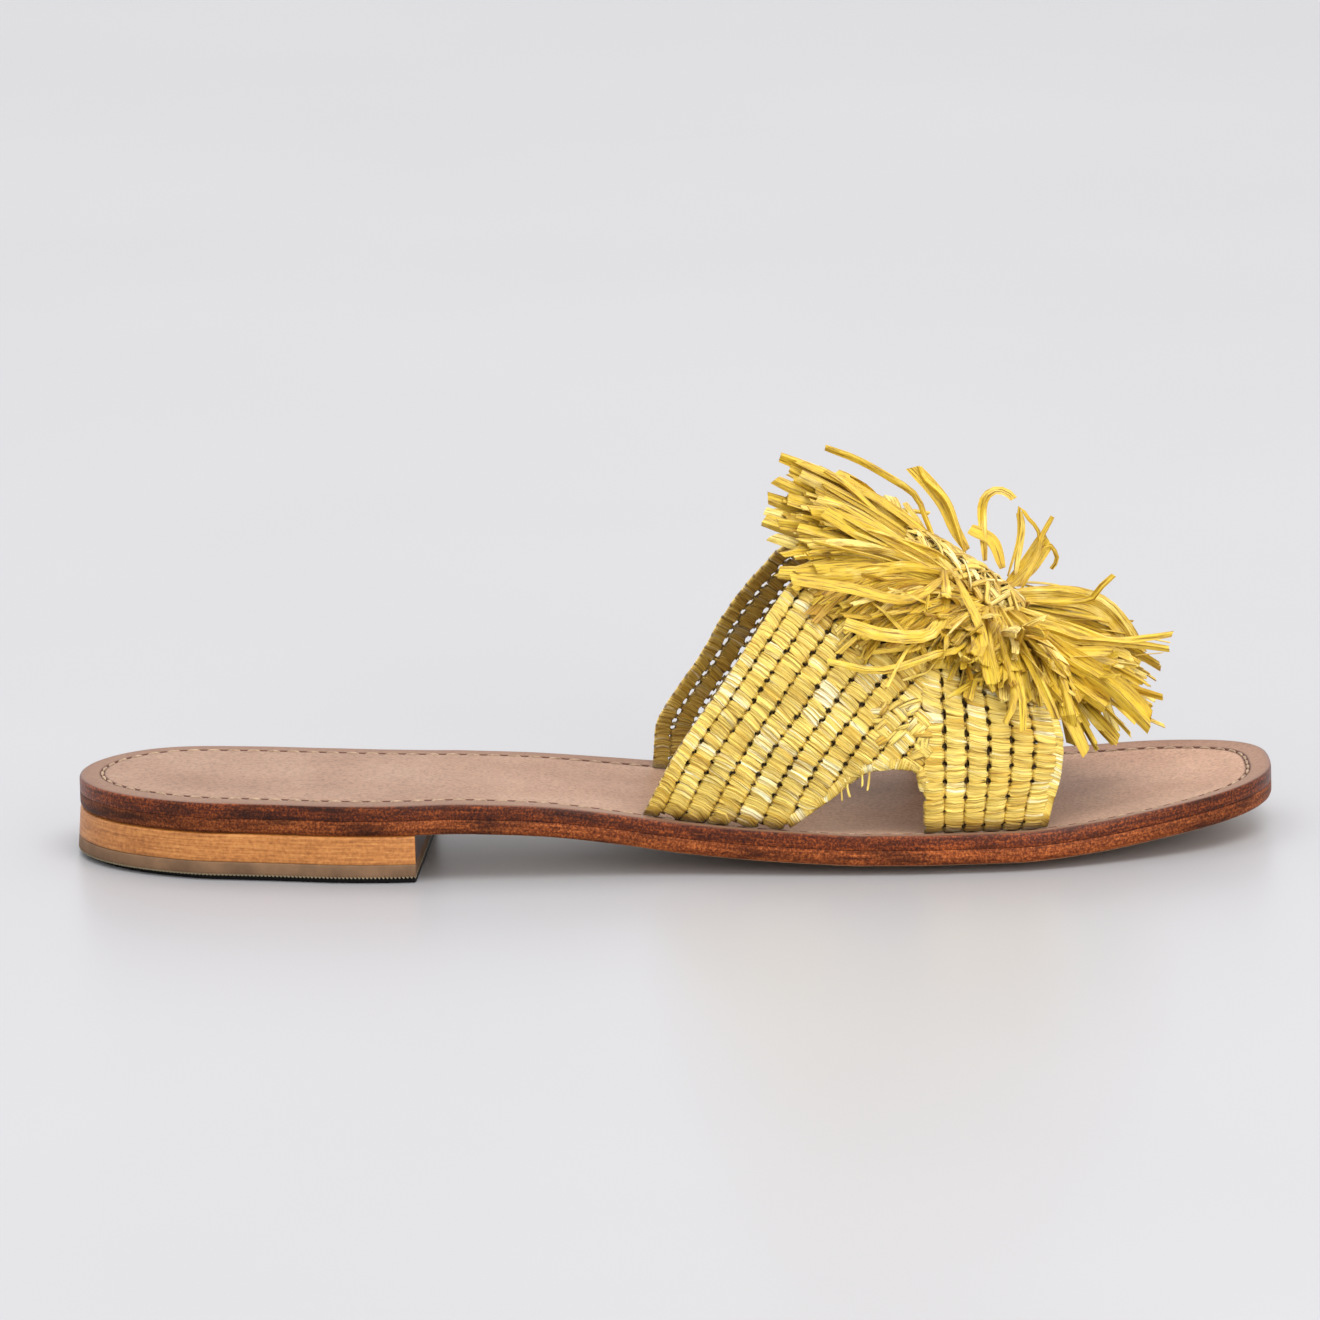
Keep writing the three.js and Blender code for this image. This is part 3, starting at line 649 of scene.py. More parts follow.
def outsole_material():
    """Outsole leather: a burnished edge and a plain tan underside."""
    n = Nodes("outsole_leather")
    edge = n.stored("edge")
    place = n.place()
    side = burnished_edge(n, edge, place, rgb(44, 17, 9), rgb(128, 62, 28), rgb(200, 114, 58), 0.5)
    under = n.fade(n.math("DIVIDE", n.part(edge, 0), 2.0), (0.25, 0), (0.6, 1))
    n.set(Base_Color=n.mix(under, side, rgb(206, 166, 126)), Roughness=0.5, Specular_IOR_Level=0.14)
    n.bump(n.noise(place, 1600.0), 0.25, 0.0002)
    return n.material


def heel_material():
    """Stacked heel leather with level grain, and painted shade on the breast."""
    n = Nodes("heel_stack")
    edge = n.stored("edge")
    streaks = n.noise(n.stretched(edge, (0.05, 0.03, 1.6)), 1.0, 6.0, 0.65)
    mottle = n.noise(n.place(), 1100.0, 3.0, 0.65)
    marks = n.noise(n.stretched(edge, (0.2, 0.2, 5.0)), 1.0, 3.0, 0.6)
    mixed = n.math("ADD", n.math("MULTIPLY", streaks, 0.6), n.math("MULTIPLY", mottle, 0.4))
    base = n.ramp(mixed, (0.34, rgb(126, 72, 30)), (0.5, rgb(178, 113, 54)), (0.66, rgb(204, 142, 78)))
    base = n.tint(base, n.fade(marks, (0.3, 0.6), (0.4, 1)))
    # Painted shade on the breast
    breast = n.fade(n.math("DIVIDE", n.part(edge, 1), HEEL_POINTS), (0.992, 0), (1.0, 1))
    n.set(Base_Color=n.mix(breast, base, rgb(58, 32, 18)), Roughness=0.45, Specular_IOR_Level=0.4)
    n.bump(streaks, 0.2, 0.0002)
    return n.material


def rubber_material():
    """Grey-brown rubber, paler on the points of its tread, with a painted shadow in the undercut."""
    n = Nodes("heel_rubber")
    place = n.place()
    edge = n.stored("edge")
    base = n.ramp(n.noise(place, 160.0, 4.0), (0.3, rgb(104, 78, 56)), (0.7, rgb(134, 102, 74)))
    # Paler on the points of the tread
    paler_tread = n.fade(n.math("DIVIDE", n.part(edge, 2), 2.0), (0.58, 0.9), (0.8, 0))
    base = n.mix(paler_tread, base, rgb(200, 186, 150))
    # Painted shadow: near black in the undercut under the tread
    undercut_shadow = n.fade(n.math("DIVIDE", n.part(edge, 0), -2.0), (0.2, 0), (0.35, 1))
    n.set(Base_Color=n.mix(undercut_shadow, base, rgb(14, 11, 9)), Roughness=0.7, Specular_IOR_Level=0.3)
    n.bump(n.noise(place, 2500.0), 0.2, 0.0001)
    return n.material


def thread_material():
    """Pale sewing thread."""
    n = Nodes("thread")
    base = n.ramp(n.noise(n.place(), 900.0), (0.3, rgb(126, 96, 74)), (0.7, rgb(178, 150, 122)))
    n.set(Base_Color=base, Roughness=0.6)
    return n.material


def floor_material():
    """Plain pale painted floor with a faint gloss."""
    n = Nodes("floor")
    base = n.ramp(n.noise(n.place(), 3.0), (0.3, rgb(165, 164, 166)), (0.7, rgb(169, 168, 170)))
    n.set(Base_Color=base, Roughness=0.36, Specular_IOR_Level=0.32)
    return n.material


# Sole and heel

def sole_outline():
    """The sole's outline in plan as a closed ring: back tip, outer side, toe tip, inner side."""
    s = np.linspace(HEEL_FLARE, LENGTH, 6000)
    side = even(np.stack([s, sole_half(s), np.zeros_like(s)], 1), RIM_STATIONS + 1)
    s = side[:, 0]
    half = sole_half(s)
    outer = np.stack([s - LENGTH / 2, sole_mid(s) - half], 1)
    inner = np.stack([s - LENGTH / 2, sole_mid(s) + half], 1)
    return np.vstack([outer, inner[-2:0:-1]])


def inset_ring(ring, distance):
    """A closed ring in plan, moved inwards by a distance."""
    along = unit(np.roll(ring, -1, 0) - np.roll(ring, 1, 0))
    inward = np.stack([-along[:, 1], along[:, 0]], 1)
    return ring + inward * distance


def sole_layer(profile):
    """A layer of the sole: rings along its profile, with both faces filled across."""
    outline = sole_outline()
    count = len(outline)
    around = run_length(outline)
    rings = []
    edges = []
    for distance, height in profile:
        plan = inset_ring(outline, distance)
        rings.append(np.column_stack([plan, sole_height(plan[:, 0], plan[:, 1], height)]))
        edges.append(np.column_stack([np.full(count, distance), around, np.full(count, height)]))
    body = Body()
    last = len(profile) - 1
    faces = [ring_faces(len(profile), count)]
    points = [np.concatenate(rings)]
    values = [np.concatenate(edges)]
    total = len(profile) * count
    for ring, turned in ((0, True), (last, False)):
        height = profile[ring][1]
        outer = np.arange(1, RIM_STATIONS)
        inner = count - outer
        t = np.linspace(0, 1, FILL_COLUMNS + 1)[1:-1]
        plan = lerp(rings[ring][outer][:, None, :2], rings[ring][inner][:, None, :2], t[None, :, None])
        fill = np.concatenate([plan, sole_height(plan[..., 0], plan[..., 1], height)[..., None]], -1)
        index = total + np.arange(fill.shape[0] * fill.shape[1]).reshape(fill.shape[:2])
        total += index.size
        points.append(fill.reshape(-1, 3))
        flat = np.zeros(index.size)
        values.append(np.column_stack([flat + FILL_INSET, flat, flat + height]))
        grid = np.column_stack([ring * count + outer, index, ring * count + inner])
        quads = np.stack([grid[:-1, :-1], grid[1:, :-1], grid[1:, 1:], grid[:-1, 1:]], -1).reshape(-1, 4)
        heel = np.stack([np.full(FILL_COLUMNS, ring * count), grid[0, :-1], grid[0, 1:]], -1)
        toe = np.stack([np.full(FILL_COLUMNS, ring * count + RIM_STATIONS), grid[-1, 1:], grid[-1, :-1]], -1)
        for face in (quads, heel, toe):
            faces.append(face[:, ::-1] if turned else face)
    body.add(np.concatenate(points), faces, edge=np.concatenate(values))
    return body


def stitches():
    """Thread in the insole's groove, all round."""
    plan = inset_ring(sole_outline(), GROOVE_INSET)
    plan = np.vstack([plan, plan[:1]])
    total = np.linalg.norm(np.diff(plan, axis=0), axis=1).sum()
    path = even(np.column_stack([plan, np.zeros(len(plan))]), int(total * 8))[:, :2]
    count = int(total / THREAD["pitch"])
    starts = np.arange(count) * total / count
    t = np.linspace(-1, 1, 7)
    places = (starts[:, None] + t * THREAD["length"] / 2) % total
    lookup = np.linspace(0, total, len(path))
    x = np.interp(places, lookup, path[:, 0])
    y = np.interp(places, lookup, path[:, 1])
    z = sole_height(x, y, THREAD["height"]) + THREAD["bow"] * (1 - t**2)
    centre = np.stack([x, y, z], -1)
    along = unit(np.gradient(centre, axis=1))
    side = unit(np.cross(along, [0, 0, 1]))
    up = np.cross(side, along)
    size = THREAD["radius"] * np.sqrt(np.maximum(0.08, 1 - t**4))
    body = Body()
    loft(body, centre[:, :, None] + round_about(side, up, 8) * size[None, :, None, None])
    return body


def heel_ring(z, grow):
    """The heel's outline at a height: the sole's outline back of the breast, flared towards the floor."""
    flare = HEEL_FLARE * (1 - z / HEEL_SEAT) + grow
    sides = []
    for side, breast in ((-1, BREAST["lateral"]), (1, BREAST["medial"])):
        s = lerp(breast, HEEL_FLARE + 0.03, np.cos(np.linspace(0, math.pi / 2, 400)))
        back = breast - (breast - s) * (1 + flare / breast)
        half = np.maximum(sole_half(s) + flare / 2, 0)
        sides.append(np.column_stack([back - LENGTH / 2, sole_mid(s) + side * half, np.full_like(s, z)]))
    curve = even(np.vstack([sides[0][::-1], sides[1]]), HEEL_POINTS)
    front = lerp(curve[-1], curve[0], np.linspace(0, 1, HEEL_BREAST_POINTS + 2)[1:-1, None])
    return np.vstack([curve, front])


def heel_layer(profile, tread=()):
    """A layer of the heel, through rings at its profile's offsets and heights. Tread notches some rings."""
    rings = [heel_ring(z, grow) for grow, z in profile]
    notch = np.arange(len(rings[0])) % 2 == 1
    for i, (rise, inset) in dict(tread).items():
        centre = rings[i].mean(0)
        rings[i][notch, 2] += rise
        rings[i][notch, :2] += unit(centre[:2] - rings[i][notch, :2]) * inset
    around = np.arange(len(rings[0]), dtype=float)
    edges = []
    for (grow, _), ring in zip(profile, rings):
        edges.append(np.column_stack([np.full_like(around, grow), around, ring[:, 2]]))
    body = Body()
    loft(body, np.stack(rings)[None], edge=np.stack(edges)[None])
    return body


# Vamp

def round_stitch(hole):
    """Angles of the points round a stitch, with two points close together where its holes begin."""
    quarter = [0, 30, *hole, 90]
    half = quarter + [180 - angle for angle in quarter[-2::-1]]
    return np.radians(half + [180 + angle for angle in half[1:-1]])


def stitch_tones(count):
    """Tones of the stitches of a row: slow runs along it, then each stitch, then each strand."""
    runs = np.convolve(rng.normal(0, 1, count + RUN - 1), np.ones(RUN) / RUN**0.5, "valid")[:count, None]
    strand = np.repeat(rng.normal(0, TONE["strand"], (count, STRANDS)), 2, axis=1)
    tone = TONE["middle"] + TONE["run"] * runs + rng.normal(0, TONE["stitch"], (count, 1))
    return np.clip(tone + np.concatenate([strand[:, :1], strand], 1), 0, 1)


def woven_stitches(body, corners, normals, pinch, bow, rise=STITCH_RISE, skew=SKEW, keep=None,
                   which="outer", sides=(1, 1), joint=JOINT["row"]):
    """Stitches of a row, each a flat bundle of fine strands that run across the row.

    Corners and normals: stitches, along 2, across 2, 3. Pinch draws a stitch in at the sides of its row
    and leaves holes between rows. Bow bends its strands along the row, skew slants them, and joint is the depth
    between stitches.
    """
    count = len(corners)
    turn = round_stitch(HOLE_TURN[which])
    v = np.sign(np.cos(turn)) * np.abs(np.cos(turn)) ** ROUNDNESS["across"]
    hole = (v[3], v[2])
    height = np.sign(np.sin(turn)) * np.abs(np.sin(turn)) ** ROUNDNESS["up"]
    height = np.where(height > 0, height * rise["out"], height * rise["in"])
    cuts = np.cumsum(rng.uniform(*STRAND["width"], (count, STRANDS)), axis=1)
    cuts = np.concatenate([np.zeros((count, 1)), cuts / cuts[:, -1:]], 1)
    u = np.empty((count, 2 * STRANDS + 1))
    u[:, ::2] = cuts
    u[:, 1::2] = (cuts[:, 1:] + cuts[:, :-1]) / 2
    groove = np.zeros_like(u)
    groove[:, ::2] = rng.uniform(*STRAND["groove"], cuts.shape)
    groove[:, 1::2] = rng.uniform(*STRAND["crown"], (count, STRANDS))
    groove[:, [0, -1]] = rng.uniform(*joint, (count, 2))
    tone = stitch_tones(count)
    length = np.linalg.norm(corners[:, 1].mean(1) - corners[:, 0].mean(1), axis=-1)[:, None, None]
    wide = np.linalg.norm(corners[:, :, 1] - corners[:, :, 0], axis=-1).mean(1)[:, None, None]
    drawn_in = np.interp(np.abs(v), hole, (0, 1)) * np.where(v < 0, *sides)
    place = 0.5 + (u[..., None] - 0.5) * (LAP["along"] - pinch[:, None, None] * drawn_in)
    lean = skew + rng.normal(0, STRAND["lean"], (count, 1, 1))
    lean = (lean + rng.normal(0, STRAND["lean"], (*u.shape, 1))) * v / 2
    place = place + lean + bow[:, None, None] * (1 - v**2)
    lift = WALL_MIDDLE + rng.normal(0, STRAND["lift"], (count, 1, 1)) + height * (1 - groove[..., None])
    a = place[..., None]
    b = np.broadcast_to((v * LAP["across"] + 1)[:, None] / 2, a.shape)

    def between(grid):
        grid = grid[:, :, :, None, None]
        return lerp(lerp(grid[:, 0, 0], grid[:, 1, 0], a), lerp(grid[:, 0, 1], grid[:, 1, 1], a), b)

    sections = between(corners) + unit(between(normals)) * lift[..., None]
    if keep:
        sections = keep(sections)
    number = rng.uniform(0, 60, (count, 1, 1))
    fibre = np.stack(np.broadcast_arrays(turn * wide / WRAP, u[..., None] * length, number), -1)
    # Painted shade: darker towards the holes, on the inner face (partly darker raffia there), in the grooves
    # between strands, and low down by the sole
    steep, least = SHADE["hole"]
    hole_shade = np.clip((np.abs(v) - hole[0]) * steep + least, 0, 1) * np.abs(2 * u[..., None] - 1)
    inside = np.where(height < 0, SHADE["inside"], 0)
    reach, power = SHADE["foot"]
    foot_shade = np.clip(1 - (sections[..., 2] - sole_top(sections)) / reach, 0, 1) ** power
    steep, most = SHADE["crease"]
    crease_shade = np.clip(groove * steep, 0, most)[..., None]
    loft(
        body, sections, fibre=fibre,
        tone=np.broadcast_to(tone[..., None], sections.shape[:3]),
        deep=np.maximum(np.maximum(crease_shade, hole_shade), np.maximum(inside, foot_shade)),
    )


def cut_height(s):
    """Height of the side cut-out at s, or far below where there is none."""
    return np.interp(s, CUT_OUT[:, 0], CUT_OUT[:, 1], left=-50, right=-50)


def keep_off_sole(points):
    """Lifts points on to the insole, and tucks the wall in where it meets it."""
    floor = sole_top(points) + CLEAR["sole"]
    points[..., 2] = np.maximum(points[..., 2], floor)
    near = np.clip(1 - (points[..., 2] - floor) / TUCK["height"], 0, 1)
    middle = sole_mid(points[..., 0] + LENGTH / 2)
    points[..., 1] -= np.sign(points[..., 1] - middle) * TUCK["depth"] * near**2
    return points


def keep_back_band(points):
    """Keeps the back band over the insole and over the cut-out."""
    points = keep_off_sole(points)
    s = points[..., 0] + LENGTH / 2
    points[..., 2] = np.maximum(points[..., 2], cut_height(s) + CLEAR["cut_out"])
    return points


def row_curve(s):
    """Points and outward directions along a row that runs over the foot."""
    return vamp_point(s, ACROSS), vamp_out(s, ACROSS)


def nearest_places(points, curve):
    """For each point, the place of the nearest point of a curve: first among some, then among those near."""
    stride = 5
    gaps = ((points[:, None, :] - curve[None, ::stride]) ** 2).sum(-1)
    rough = gaps.argmin(1) * stride
    offsets = np.arange(-stride - 1, stride + 2)
    near = np.clip(rough[:, None] + offsets, 0, len(curve) - 1)
    best = ((points[:, None, :] - curve[near]) ** 2).sum(-1).argmin(1)
    return near[np.arange(len(points)), best]


def grid_corners(points, normals):
    """Corners of the stitches between two rows of places."""
    def cells(rows):
        return np.stack([np.stack([rows[0][:-1], rows[1][:-1]], 1), np.stack([rows[0][1:], rows[1][1:]], 1)], 1)
    return cells(points), cells(normals)


def uneven_steps(length, pitch):
    """Places along a row, a little unevenly spaced."""
    steps = pitch * rng.uniform(*UNEVEN, int(length / pitch) - 1)
    return np.minimum(0.5 + np.cumsum(steps), length)


def above_sole(corners):
    """How high the middles of stitches are above the insole."""
    centre = corners.mean((1, 2))
    return centre[:, 2] - sole_top(centre)


def hole_pinch(height, which, share=1):
    """How far stitches draw in at their sides: open high up, closed low down, and scalloped at the sole."""
    most = PINCH[which] * share * rng.uniform(*PINCH_SPREAD[which], len(height))
    rise = (height - PINCH_HEIGHT["open_from"]) / PINCH_HEIGHT["open_over"]
    opened = most * np.clip(rise, PINCH_HEIGHT["least"], 1)
    return np.where(height < PINCH_HEIGHT["foot"], PINCH["foot"], opened)


def make_back_band(side):
    """The rows of the back band on one side of the ridge, along its back edge."""
    body = Body()
    which = "outer" if side < 0 else "inner"
    slant = lerp(BACK_SLANT["ridge"], BACK_SLANT["flank"], np.minimum(1, np.abs(ACROSS) / 0.5))
    curves = [row_curve(back_edge(ACROSS) + row * slant) for row in BACK_ROWS]
    length = run_length(curves[0][0])
    places = np.searchsorted(length, uneven_steps(length[-1], STITCH["back"]))
    for k in range(len(BACK_ROWS) - 1):
        follow = nearest_places(curves[k][0][places], curves[k + 1][0])
        corners, normals = grid_corners(
            (curves[k][0][places], curves[k + 1][0][follow]),
            (curves[k][1][places], curves[k + 1][1][follow]),
        )
        centre = corners.mean((1, 2))
        s = centre[:, 0] + LENGTH / 2
        shown = (ACROSS[(places[:-1] + places[1:]) // 2] * side > 0) & (above_sole(corners) > SHOWN_FROM)
        shown &= (s < MITRE + BACK_PAST["mitre"]) & (centre[:, 2] > cut_height(s) - BACK_PAST["cut_out"])
        corners = corners[shown]
        height = above_sole(corners)
        bow = -side * lerp(BOW["foot"], BOW["top"], np.clip(height / BOW["height"], 0, 1))
        edge = k == 0
        outer_rise = RIM_RISE if edge else STITCH_RISE
        rise = outer_rise if side < 0 else INNER_RISE
        woven_stitches(
            body, corners, normals[shown], hole_pinch(height, which), bow, rise, SKEW * side, keep_back_band,
            which, (0 if edge else 1, 1), JOINT["edge" if edge else "row"],
        )
        places = follow
    if side < 0:
        for path, out in curves[1:-1]:
            s = path[:, 0] + LENGTH / 2
            low = np.maximum(sole_top(path), cut_height(s)) + WARP["radius"]
            shown = (ACROSS < 0) & (path[:, 2] > low) & (s < MITRE)
            if shown.sum() > WARP["least"]:
                warp_cord(body, path[shown], out[shown])
    return body


def warp_cord(body, path, out):
    """A cord inside the wall, behind the holes between two rows, coloured in painted shade so that the holes
    show dark.
    """
    out = out[::WARP["step"]]
    centre = path[::WARP["step"]] + out * (WALL_MIDDLE - WARP["depth"])
    along = unit(np.gradient(centre, axis=0))
    sections = (centre[:, None] + WARP["radius"] * round_about(out, np.cross(out, along), 6))[None]
    shape = sections.shape[:3]
    loft(body, sections, fibre=sections, tone=np.full(shape, 0.3), deep=np.full(shape, 0.9))


def make_front_band():
    """The rows of the front band, which run over the foot."""
    body = Body()
    length = run_length(vamp_point(lerp(MITRE, front_edge(ACROSS), 0.5), ACROSS))
    across = ACROSS[np.searchsorted(length, uneven_steps(length[-1], STITCH["front"]))]

    def row_place(row, place):
        return lerp(MITRE, front_edge(place) - FRONT_BINDING, row / FRONT_ROWS)

    edge = [row_place(row, across) for row in range(FRONT_ROWS + 1)]
    for k, share in enumerate(FRONT_OPEN):
        corners, normals = grid_corners(
            (vamp_point(edge[k], across), vamp_point(edge[k + 1], across)),
            (vamp_out(edge[k], across), vamp_out(edge[k + 1], across)),
        )
        shown = above_sole(corners) > SHOWN_FROM
        corners = corners[shown]
        bow = np.sign(corners.mean((1, 2))[:, 1]) * BOW["front"]
        pinch = hole_pinch(above_sole(corners), "front", share)
        woven_stitches(body, corners, normals[shown], pinch, bow, skew=0.0, keep=keep_off_sole, which="front")
    for row in range(1, FRONT_ROWS):
        path, out = row_curve(row_place(row, ACROSS))
        shown = path[:, 2] > sole_top(path) + WARP["radius"]
        warp_cord(body, path[shown], out[shown])
    return body


def edge_stitches(body, path, out, half, skew):
    """Strands bound round an edge that follows a path."""
    along = unit(np.gradient(path, axis=0))
    side = unit(np.cross(out, along))
    count = max(2, int(np.linalg.norm(np.diff(path, axis=0), axis=1).sum() / BINDING))
    places = np.linspace(0, len(path) - 1, count + 1).astype(int)
    points = (path[places] - side[places] * half, path[places] + side[places] * half)
    corners, normals = grid_corners(points, (out[places], out[places]))
    flat = np.zeros(count)
    woven_stitches(body, corners, normals, flat, flat, RIM_RISE, skew, keep_off_sole, joint=JOINT["edge"])


def make_edges():
    """Bound edges: the front edge, and round both side cut-outs."""
    body = Body()
    path, out = row_curve(front_edge(ACROSS) - FRONT_EDGING["inset"])
    shown = path[:, 2] > sole_top(path) - FRONT_EDGING["foot"]
    edge_stitches(body, path[shown], out[shown], FRONT_EDGING["half"], FRONT_EDGING["skew"])
    outline = spline(np.column_stack([CUT_OUT, np.zeros(len(CUT_OUT))])[1:], 400)
    s = outline[:, 0]
    z = outline[:, 1] + np.interp(s, *RIM_LIFT)
    for side in (-1, 1):
        wall = np.linspace(0, side, 1500)
        heights = vamp_point(np.repeat(s[:, None], len(wall), 1), wall[None])[..., 2]
        across = np.array([np.interp(-level, -row, wall) for level, row in zip(z, heights)])
        path = vamp_point(s, across)
        path[:, 2] = z
        edge_stitches(body, path, vamp_out(s, across), CUT_OUT_EDGING["half"], CUT_OUT_EDGING["skew"])
        scrunched(body, side)
    loose_fibres(body)
    return body


def scrunched(body, side):
    """Short strips laid every way over the corner where the two bands meet, above the cut-out."""
    count = SCRUNCH["count"]
    t = np.linspace(-1, 1, RIBBON_STEPS)
    angle = rng.normal(*SCRUNCH["angle"], (count, 1))
    half = rng.uniform(*SCRUNCH["half"], (count, 1))
    s = MITRE + rng.uniform(*SCRUNCH["s"], (count, 1)) + half * np.cos(angle) * t
    across = rng.uniform(*SCRUNCH["across"], (count, 1)) + half * np.sin(angle) * t * SCRUNCH["turn"]
    out = vamp_out(s, side * across)
    lift = WALL_MIDDLE + STITCH_RISE["out"] + rng.uniform(*SCRUNCH["lift"], (count, 1)) - SCRUNCH["dip"] * t**4
    paths = vamp_point(s, side * across) + out * lift[..., None]
    tones = some_tones(0.5, 0.2, count)
    roll = rng.normal(0, SCRUNCH["roll"], (count, 2))
    widths = rng.uniform(*SCRUNCH["width"], count)
    ribbons(body, paths, widths, roll, tones, out.mean(1)[:, None], 0.05, 0.2)


def loose_fibres(body):
    """A few frayed fibres that hang from the rim of the outer cut-out."""
    s = np.array(FRAYED)
    count = len(s)
    rim = np.interp(s, CUT_OUT[:, 0], CUT_OUT[:, 1])
    mid, half, _, _, _ = vamp_arch(s)
    root = at_place(s, mid - half - FRAY["out"], rim + FRAY["up"])
    t = RIBBON_T
    drop = [rng.normal(0, 1, count), rng.uniform(-1, 0, count), -rng.uniform(*FRAY["drop"], count)]
    paths = root[:, None] + np.stack(drop, -1)[:, None] * t + rng.normal(0, FRAY["curl"], (count, 1, 3)) * t**2
    roll = rng.normal(0, FRAY["roll"], (count, 2))
    widths = rng.uniform(*FRAY["width"], count)
    ribbons(body, paths, widths, roll, np.full(count, FRAY["tone"]), (0, -1, 0), 0.1)


# Tuft

tie_points = [at_place(*TIE[key]) for key in ("back", "middle", "front")]


def some_tones(middle, spread, count):
    """Tones for strips, from 0, ochre, to 1, pale."""
    return np.clip(rng.normal(middle, spread, count), 0, 1)


def clear_of_vamp(points):
    """Moves points of the tuft out of the vamp's arch, to stand clear of it."""
    s = points[..., 0] + LENGTH / 2
    mid, half, foot, rise, square = vamp_arch(np.clip(s, *VAMP_SPAN))
    y = (points[..., 1] - mid - RIDGE_SKEW / 2) / (half + TUFT_CLEAR)
    z = np.maximum(0, points[..., 2] - foot) / (rise + TUFT_CLEAR)
    reach = (np.abs(y) ** square + z**square) ** (1 / square)
    over = (s > TUFT_OVER[0]) & (s < TUFT_OVER[1]) & (reach < 1)
    scale = np.where(over, 1 / np.maximum(reach, 0.2), 1)
    points[..., 1] = lerp(mid + RIDGE_SKEW / 2, points[..., 1], scale)
    points[..., 2] = lerp(foot, points[..., 2], scale)
    return points


def ribbons(body, paths, widths, roll, tones, facing=(0, -0.35, 1), wander=0.3, shade=0.7):
    """Closed flat strips with two pleats and blunt ends, along paths, with painted shade at their roots and
    along their edges. Paths: strips, steps, 3.
    """
    n, m, _ = paths.shape
    along = unit(np.gradient(paths, axis=1))
    up = np.array(facing) + rng.normal(0, wander, (n, 1, 3))
    side = unit(np.cross(along, up))
    normal = np.cross(side, along)
    t = np.linspace(0, 1, m)
    angle = (roll[:, :1] + roll[:, 1:] * t)[..., None]
    side, normal = side * np.cos(angle) + normal * np.sin(angle), normal * np.cos(angle) - side * np.sin(angle)
    x = np.array([-1, -0.36, 0.36, 1, 0.36, -0.36]) / 2
    face = np.array([0, 1, 1, 0, -1, -1]) / 2
    pleats = rng.normal(0, RIBBON["pleat"], (n, 2))
    flat = np.zeros(n)
    fold = np.stack([flat, pleats[:, 0], pleats[:, 1], flat, pleats[:, 1], pleats[:, 0]], -1)[:, None]
    wide = widths[:, None, None] * np.interp(t, *RIBBON_WIDTH)[None, :, None]
    height = fold * wide + face * rng.uniform(*RIBBON["thick"], (n, 1, 1))
    spots = paths[:, :, None] + side[:, :, None] * (x * wide)[..., None]
    spots = spots + normal[:, :, None] * height[..., None]
    slant = rng.normal(0, RIBBON["slant"], (n, 1, 1)) * x * wide[:, -1:, 0:1]
    spots[:, -1] += along[:, -1:, :] * slant.reshape(n, -1, 1)
    steps = np.linalg.norm(np.diff(paths, axis=1), axis=-1)
    reach = np.concatenate([np.zeros((n, 1)), np.cumsum(steps, axis=1)], 1)
    number = rng.uniform(0, 90, (n, 1, 1))
    fibre = np.stack(np.broadcast_arrays(reach[..., None], x * wide, number), -1)
    # Painted shade: darker at the root of each strip and along its two edges
    root = np.interp(t, [0, 0.1, 0.3], [shade, shade / 2, 0])[None, :, None]
    edge = np.where(np.abs(x) == 0.5, RIBBON["edge"], 0.0)
    shape = (n, m, len(x))
    loft(
        body, spots, fibre=fibre,
        tone=np.broadcast_to(tones[:, None, None], shape),
        deep=np.broadcast_to(np.maximum(root, edge), shape),
    )


def tuft_tips(count):
    """Places for the strands' tips: round the rim, between its low edge and its topmost strands."""
    rim = spline(TUFT_RIM, RIM_STEPS, closed=True)
    thick = [*TUFT_RIM[:, 4], TUFT_RIM[0, 4]]
    places = np.linspace(0, len(TUFT_RIM), RIM_STEPS)
    weight = np.cumsum(np.interp(places, np.arange(len(thick)), thick))
    place = (np.arange(count) + rng.uniform(-0.8, 0.8, count)) / count % 1
    row = rim[np.searchsorted(weight, place * weight[-1]).clip(0, RIM_STEPS - 1)]
    layer = rng.beta(1.0, 1.3, count)
    tip = at_place(row[:, 0], row[:, 1], lerp(row[:, 2], row[:, 3], layer))
    pull = 1 - 0.12 * layer - np.abs(rng.normal(0, 0.04, count))
    tip[:, :2] = lerp(tie_points[1][:2], tip[:, :2], pull[:, None])
    return tip, layer


def tuft_roots(tip):
    """Where strands leave the sides of the tie, for their tips."""
    s = tip[:, 0] + LENGTH / 2
    middle = TIE["middle"][1]
    along = np.where(tip[:, 1] < middle, np.interp(s, *ROOTS_NEAR), np.interp(s, *ROOTS_FAR))
    along = along + rng.normal(0, 0.09, len(s))
    root = bezier(*tie_points, np.clip(along, 0.02, 0.98)[:, None])
    side = np.clip((tip[:, 1] - middle) / ROOT_SIDE["over"], -1, 1) * rng.uniform(0.8, 1, len(s))
    root[:, 1] += ROOT_SIDE["out"] * side
    root[:, 2] -= ROOT_SIDE["down"] + np.where(side < 0, ROOT_SIDE["near"], ROOT_SIDE["far"]) * np.abs(side)
    return root


